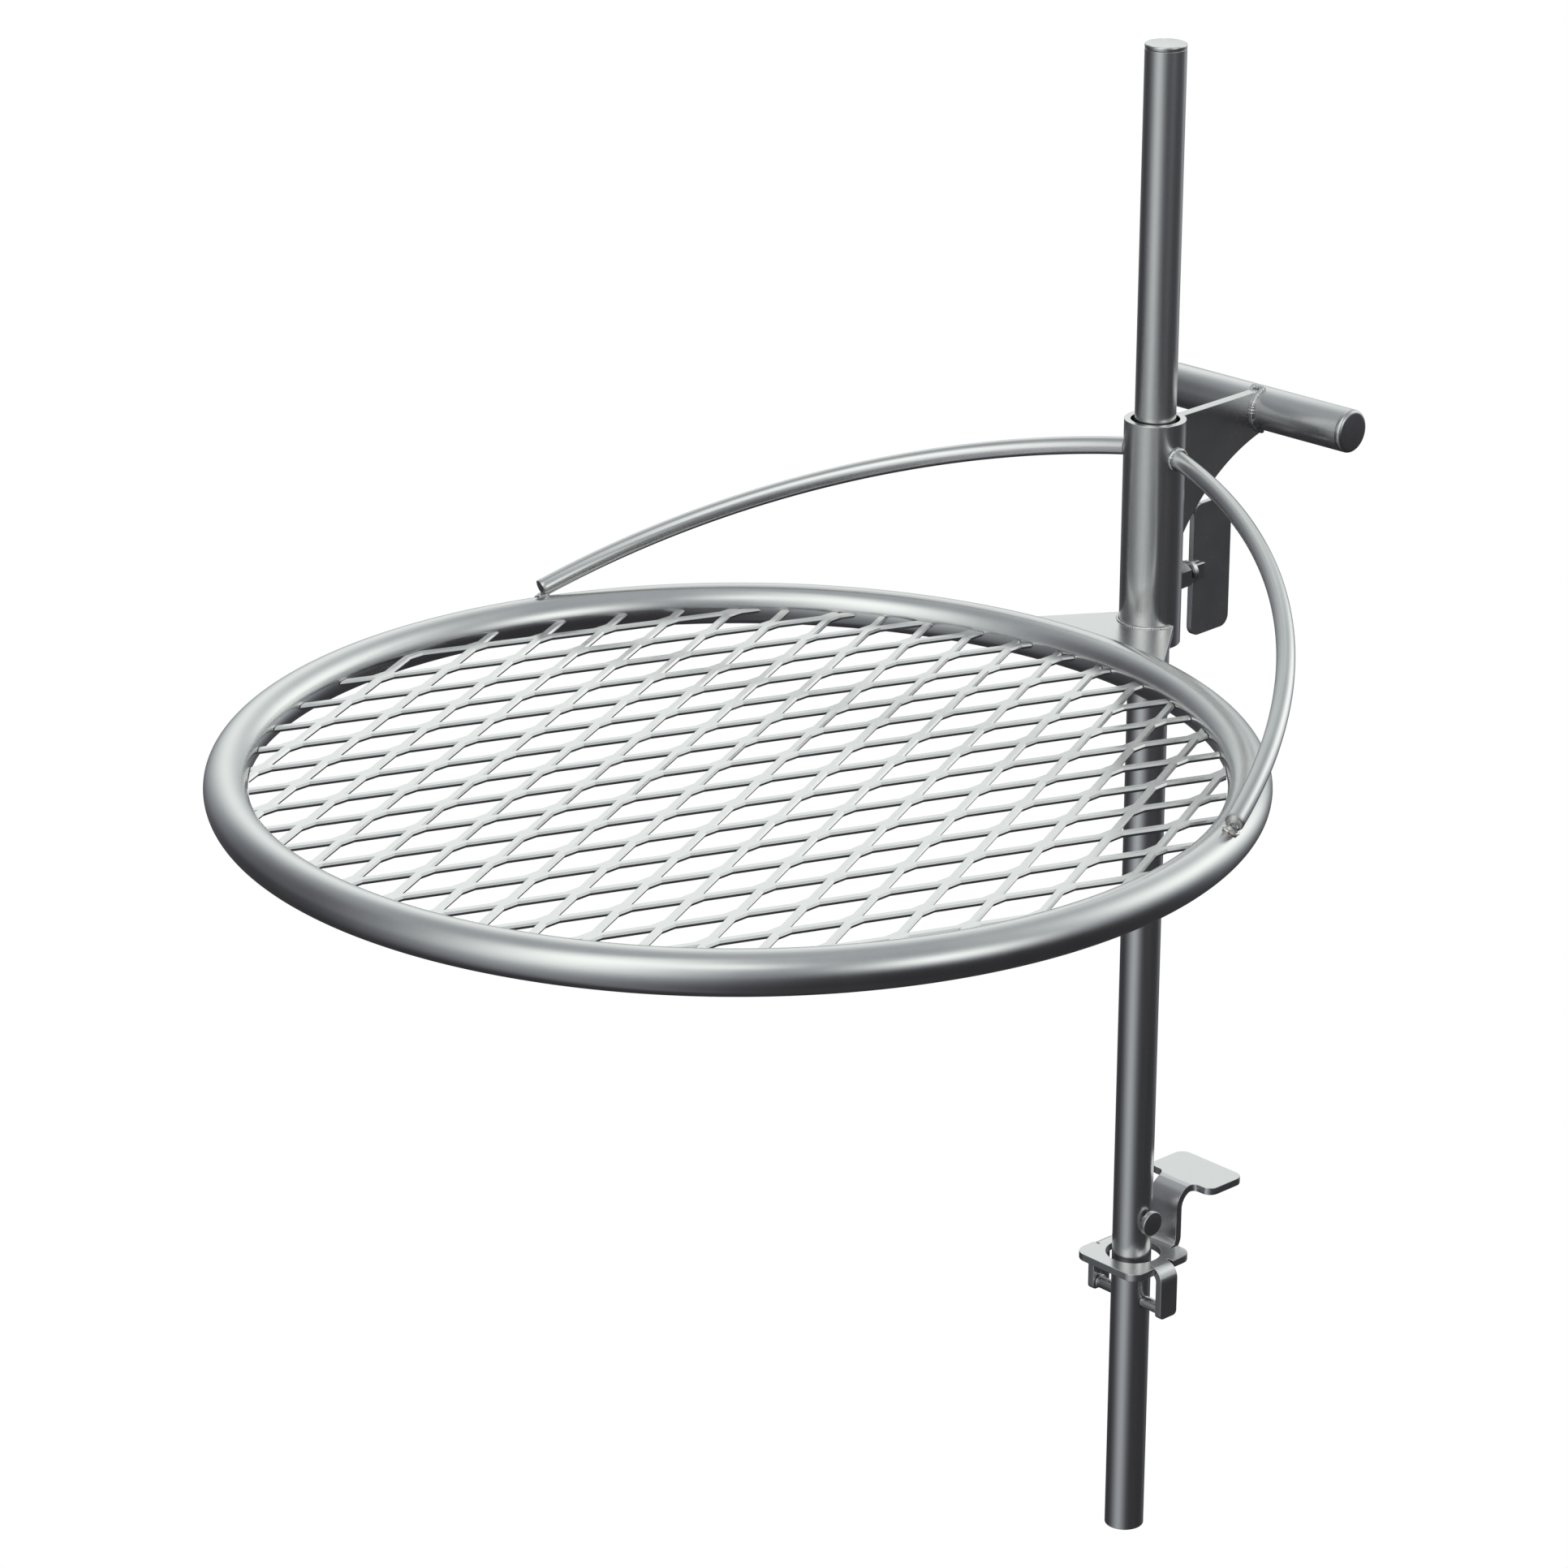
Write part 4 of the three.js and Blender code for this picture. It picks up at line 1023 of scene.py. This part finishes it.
# Lock screw
NUT_START = SLEEVE_RADIUS + FIT
NUT_END = NUT_START + NUT_LENGTH
HEAD_START = NUT_END + HEAD_GAP
SQUARE_START = HEAD_START + HEAD_COLLAR_LENGTH
SQUARE_END = SQUARE_START + HEAD_LENGTH


def hex_nut():
    """The nut up the Z axis, bored for the screw, with its corners just broken at both ends."""
    low, high = -NUT_END, -NUT_START
    corner = NUT_WIDTH / math.sqrt(3)
    prism = plate(circle(0, 0, corner, 6), low, high, FINE_EDGE / 2)
    broken = lathe([
        (0, low), (NUT_WIDTH / 2, low), (corner + FINE_EDGE, low + NUT_BREAK),
        (corner + FINE_EDGE, high - NUT_BREAK), (NUT_WIDTH / 2, high), (0, high),
    ])
    bore = round_bar(SCREW_RADIUS + FIT, low - EDGE, high + EDGE, FINE_EDGE / 4, BORE_SIDES)
    return cut(combined(prism, broken, "INTERSECT"), bore)


def square_head():
    """The screw's head up the Z axis: a square block, and a round collar towards the nut at the high end."""
    high = -HEAD_START
    half = HEAD_WIDTH / 2
    corners = [(half, half, EDGE), (-half, half, EDGE), (-half, -half, EDGE), (half, -half, EDGE)]
    block = plate(filleted(corners, EDGE_STEPS), -SQUARE_END, high - HEAD_COLLAR_LENGTH / 2, FINE_EDGE)
    collar = round_bar(HEAD_COLLAR_RADIUS, -SQUARE_START, high, FINE_EDGE)
    recess = round_bar(SCREW_RADIUS + EDGE * 2, high - EDGE, high + EDGE, FINE_EDGE / 2)
    return combined(cut(collar, recess), block, "UNION")


def threaded_bar(low, high):
    """A screw shank with a real helical thread."""
    levels = round((high - low) / THREAD_PITCH * THREAD_STEPS)
    vertices, faces = [], []
    for level in range(levels + 1):
        height = low + (high - low) * level / levels
        taper = 1 - min(1, (level + 1) / THREAD_STEPS, (levels - level + 1) / THREAD_STEPS)
        for side in range(THREAD_SIDES):
            turn = side / THREAD_SIDES
            groove = 1 - abs(2 * ((height / THREAD_PITCH - turn) % 1) - 1)
            depth = THREAD_DEPTH * max(0, min(1, groove * THREAD_STEEPNESS - THREAD_LAND))
            radius = SCREW_RADIUS - depth - taper * THREAD_TAPER
            angle = 2 * math.pi * turn
            vertices.append((radius * math.cos(angle), radius * math.sin(angle), height))
    end = levels * THREAD_SIDES
    for here in range(0, end, THREAD_SIDES):
        faces += band(here, here + THREAD_SIDES, THREAD_SIDES)
    faces.append(range(THREAD_SIDES))
    faces.append(range(end, end + THREAD_SIDES))
    return mesh_from(vertices, faces)


def lock_paddle():
    """The flat grip, notched round the screw's head."""
    near = -SQUARE_START - FIT
    far = near - PADDLE_WIDTH
    end = -SQUARE_END - FIT
    half = PADDLE_LENGTH / 2
    notch = HEAD_WIDTH / 2 + FIT
    corners = [
        (near, half, PADDLE_CORNER), (far, half, PADDLE_CORNER), (far, -half, PADDLE_CORNER),
        (near, -half, PADDLE_CORNER), (near, -notch, 0), (end, -notch, 0), (end, notch, 0), (near, notch, 0),
    ]
    return moved(plate(filleted(corners), -PADDLE_THICKNESS / 2, PADDLE_THICKNESS / 2, EDGE), RAISED)


def lock_screw():
    """The nut on the sleeve, and the screw with its head and paddle."""
    place = CARRIAGE @ Matrix.Translation((0, 0, LOCK_Z))
    nut = moved(hex_nut(), ALONG_X)
    piece("hex_weld_nut", nut, "grate", FASTENER_STEEL, "weld_nut", place, flat=True)
    shank = moved(threaded_bar(-HEAD_START + HAIRLINE, -POST_RADIUS - TIP_GAP), ALONG_X)
    piece("threaded_shank", shank, "lock_screw", FASTENER_STEEL, "lock_screw_shank", place)
    head = moved(square_head(), ALONG_X)
    piece("square_screw_head", head, "lock_handle", FASTENER_STEEL, "lock_screw_head", place, flat=True)
    piece("flat_paddle", lock_paddle(), "lock_handle", PLATE_STEEL, "lock_paddle", place, flat=True)


rim_bracket()
cross_rod()
post_tube()
post_cap()
stop_pin()
sleeve()
ring_tube()
grille()
web_plate()
arch_rods()
gusset()
handle()
lock_screw()


# Floor, light and camera
CAMERA_PLACE = Vector((2.3670, 2.1561, 1.5094))
CAMERA_FORWARD = Vector((-0.63426, -0.68342, -0.36147))
CAMERA_UP = Vector((-0.24378, -0.26691, 0.93238))
CAMERA_LENS = 124.49
CAMERA_SENSOR = 36
CAMERA_CLIP = 200
FLOOR_HALF = 40
FLOOR_DROP = 0.0005


def camera():
    """The camera that stands where the photo's did."""
    data = bpy.data.cameras.new("camera")
    data.lens = CAMERA_LENS
    data.sensor_width = CAMERA_SENSOR
    data.clip_end = CAMERA_CLIP
    obj = bpy.data.objects.new("camera", data)
    bpy.context.scene.collection.objects.link(obj)
    bpy.context.scene.camera = obj
    right = CAMERA_FORWARD.cross(CAMERA_UP).normalized()
    up = right.cross(CAMERA_FORWARD).normalized()
    turn = Matrix((right, up, -CAMERA_FORWARD)).transposed().to_4x4()
    obj.matrix_world = Matrix.Translation(CAMERA_PLACE) @ turn


def floor():
    """A plain white floor. The steel doesn't mirror it, as in a studio picture on white."""
    bm = bmesh.new()
    bmesh.ops.create_grid(bm, x_segments=1, y_segments=1, size=FLOOR_HALF)
    obj = bpy.data.objects.new("floor", mesh_of(bm))
    obj.location = (0, 0, POST_LOW - FLOOR_DROP)
    obj.visible_glossy = False
    bpy.context.scene.collection.objects.link(obj)
    material = bpy.data.materials.new("white_floor")
    material.use_nodes = True
    tree = material.node_tree
    tree.nodes.clear()
    glow = node_of(tree, "ShaderNodeEmission", Color=(1, 1, 1, 1), Strength=1.0)
    node_of(tree, "ShaderNodeOutputMaterial", Surface=glow.outputs["Emission"])
    obj.data.materials.append(material)


CAMERA_AZIMUTH = math.atan2(-CAMERA_FORWARD.y, -CAMERA_FORWARD.x)

# Level of the studio: degrees above the horizon, brightness
STUDIO_LEVELS = [
    (-90, 0.06), (-60, 0.04), (-15, 0.04), (0, 0.10), (15, 0.10), (30, 0.15), (50, 0.40), (90, 0.53),
]
# Soft lights: degrees from the camera's side, elevation, spread across, spread up and down, strength
STUDIO_LIGHTS = [
    (-55, -44, 36, 48, 0.20),
    (135, 8, 18, 22, 0.90),
    (0, 50, 12, 14, 0.75),
    (110, 28, 30, 22, 1.15),
    (185, 22, 32, 28, 1.00),
    (45, 20, 20, 18, 1.50),
    (-35, 34, 30, 50, 1.25),
]
# Colour of the studio by its brightness, bluish where it is dim
STUDIO_CAST_TOP = 1.5
STUDIO_CAST = [
    (0.04, (0.94, 0.94, 1.06)),
    (0.18, (0.94, 0.985, 1.06)),
    (0.45, (0.955, 1.015, 1.03)),
    (0.85, (0.985, 1.015, 1.0)),
]


def soft_light(tree, aim, elevation, aside, up, wide, tall):
    """How much of a soft light lies in a direction, from 0 to 1. aim is the direction laid level."""
    azimuth = CAMERA_AZIMUTH + math.radians(aside)
    facing = node_of(tree, "ShaderNodeVectorMath", "DOT_PRODUCT", Vector=aim)
    facing.inputs[1].default_value = (math.cos(azimuth), math.sin(azimuth), 0)
    narrow = 1 / math.radians(wide) ** 2
    across = maths(tree, "MULTIPLY_ADD", facing.outputs["Value"], narrow, -narrow)
    off = maths(tree, "MULTIPLY_ADD", elevation, 1 / math.radians(tall), -up / tall)
    fall = maths(tree, "SUBTRACT", maths(tree, "MULTIPLY", across, 2), maths(tree, "MULTIPLY", off, off))
    return maths(tree, "EXPONENT", fall)


def studio():
    """Soft light from all round, brighter behind and above, with the dark below."""
    world = bpy.data.worlds.new("studio")
    bpy.context.scene.world = world
    world.use_nodes = True
    tree = world.node_tree
    tree.nodes.clear()
    seen = tree.nodes.new("ShaderNodeTexCoord").outputs["Generated"]
    way = node_of(tree, "ShaderNodeVectorMath", "NORMALIZE", Vector=seen).outputs["Vector"]
    parts = node_of(tree, "ShaderNodeSeparateXYZ", Vector=way).outputs
    ground = node_of(tree, "ShaderNodeCombineXYZ", X=parts["X"], Y=parts["Y"]).outputs["Vector"]
    aim = node_of(tree, "ShaderNodeVectorMath", "NORMALIZE", Vector=ground).outputs["Vector"]
    elevation = maths(tree, "ARCSINE", parts["Z"])
    level = node_of(tree, "ShaderNodeMapRange", Value=elevation, From_Min=-math.pi / 2, From_Max=math.pi / 2)
    stops = [((degrees + 90) / 180, brightness) for degrees, brightness in STUDIO_LEVELS]
    total = ramp(tree, level.outputs["Result"], stops)
    for *light, strength in STUDIO_LIGHTS:
        total = maths(tree, "MULTIPLY_ADD", soft_light(tree, aim, elevation, *light), strength, total)
    cast = ramp(tree, maths(tree, "MULTIPLY", total, 1 / STUDIO_CAST_TOP), STUDIO_CAST)
    glow = node_of(tree, "ShaderNodeVectorMath", "SCALE", Vector=cast, Scale=total).outputs["Vector"]
    background = node_of(tree, "ShaderNodeBackground", Color=glow, Strength=1.0)
    node_of(tree, "ShaderNodeOutputWorld", Surface=background.outputs["Background"])


camera()
floor()
studio()
bpy.context.scene.view_settings.view_transform = "Standard"
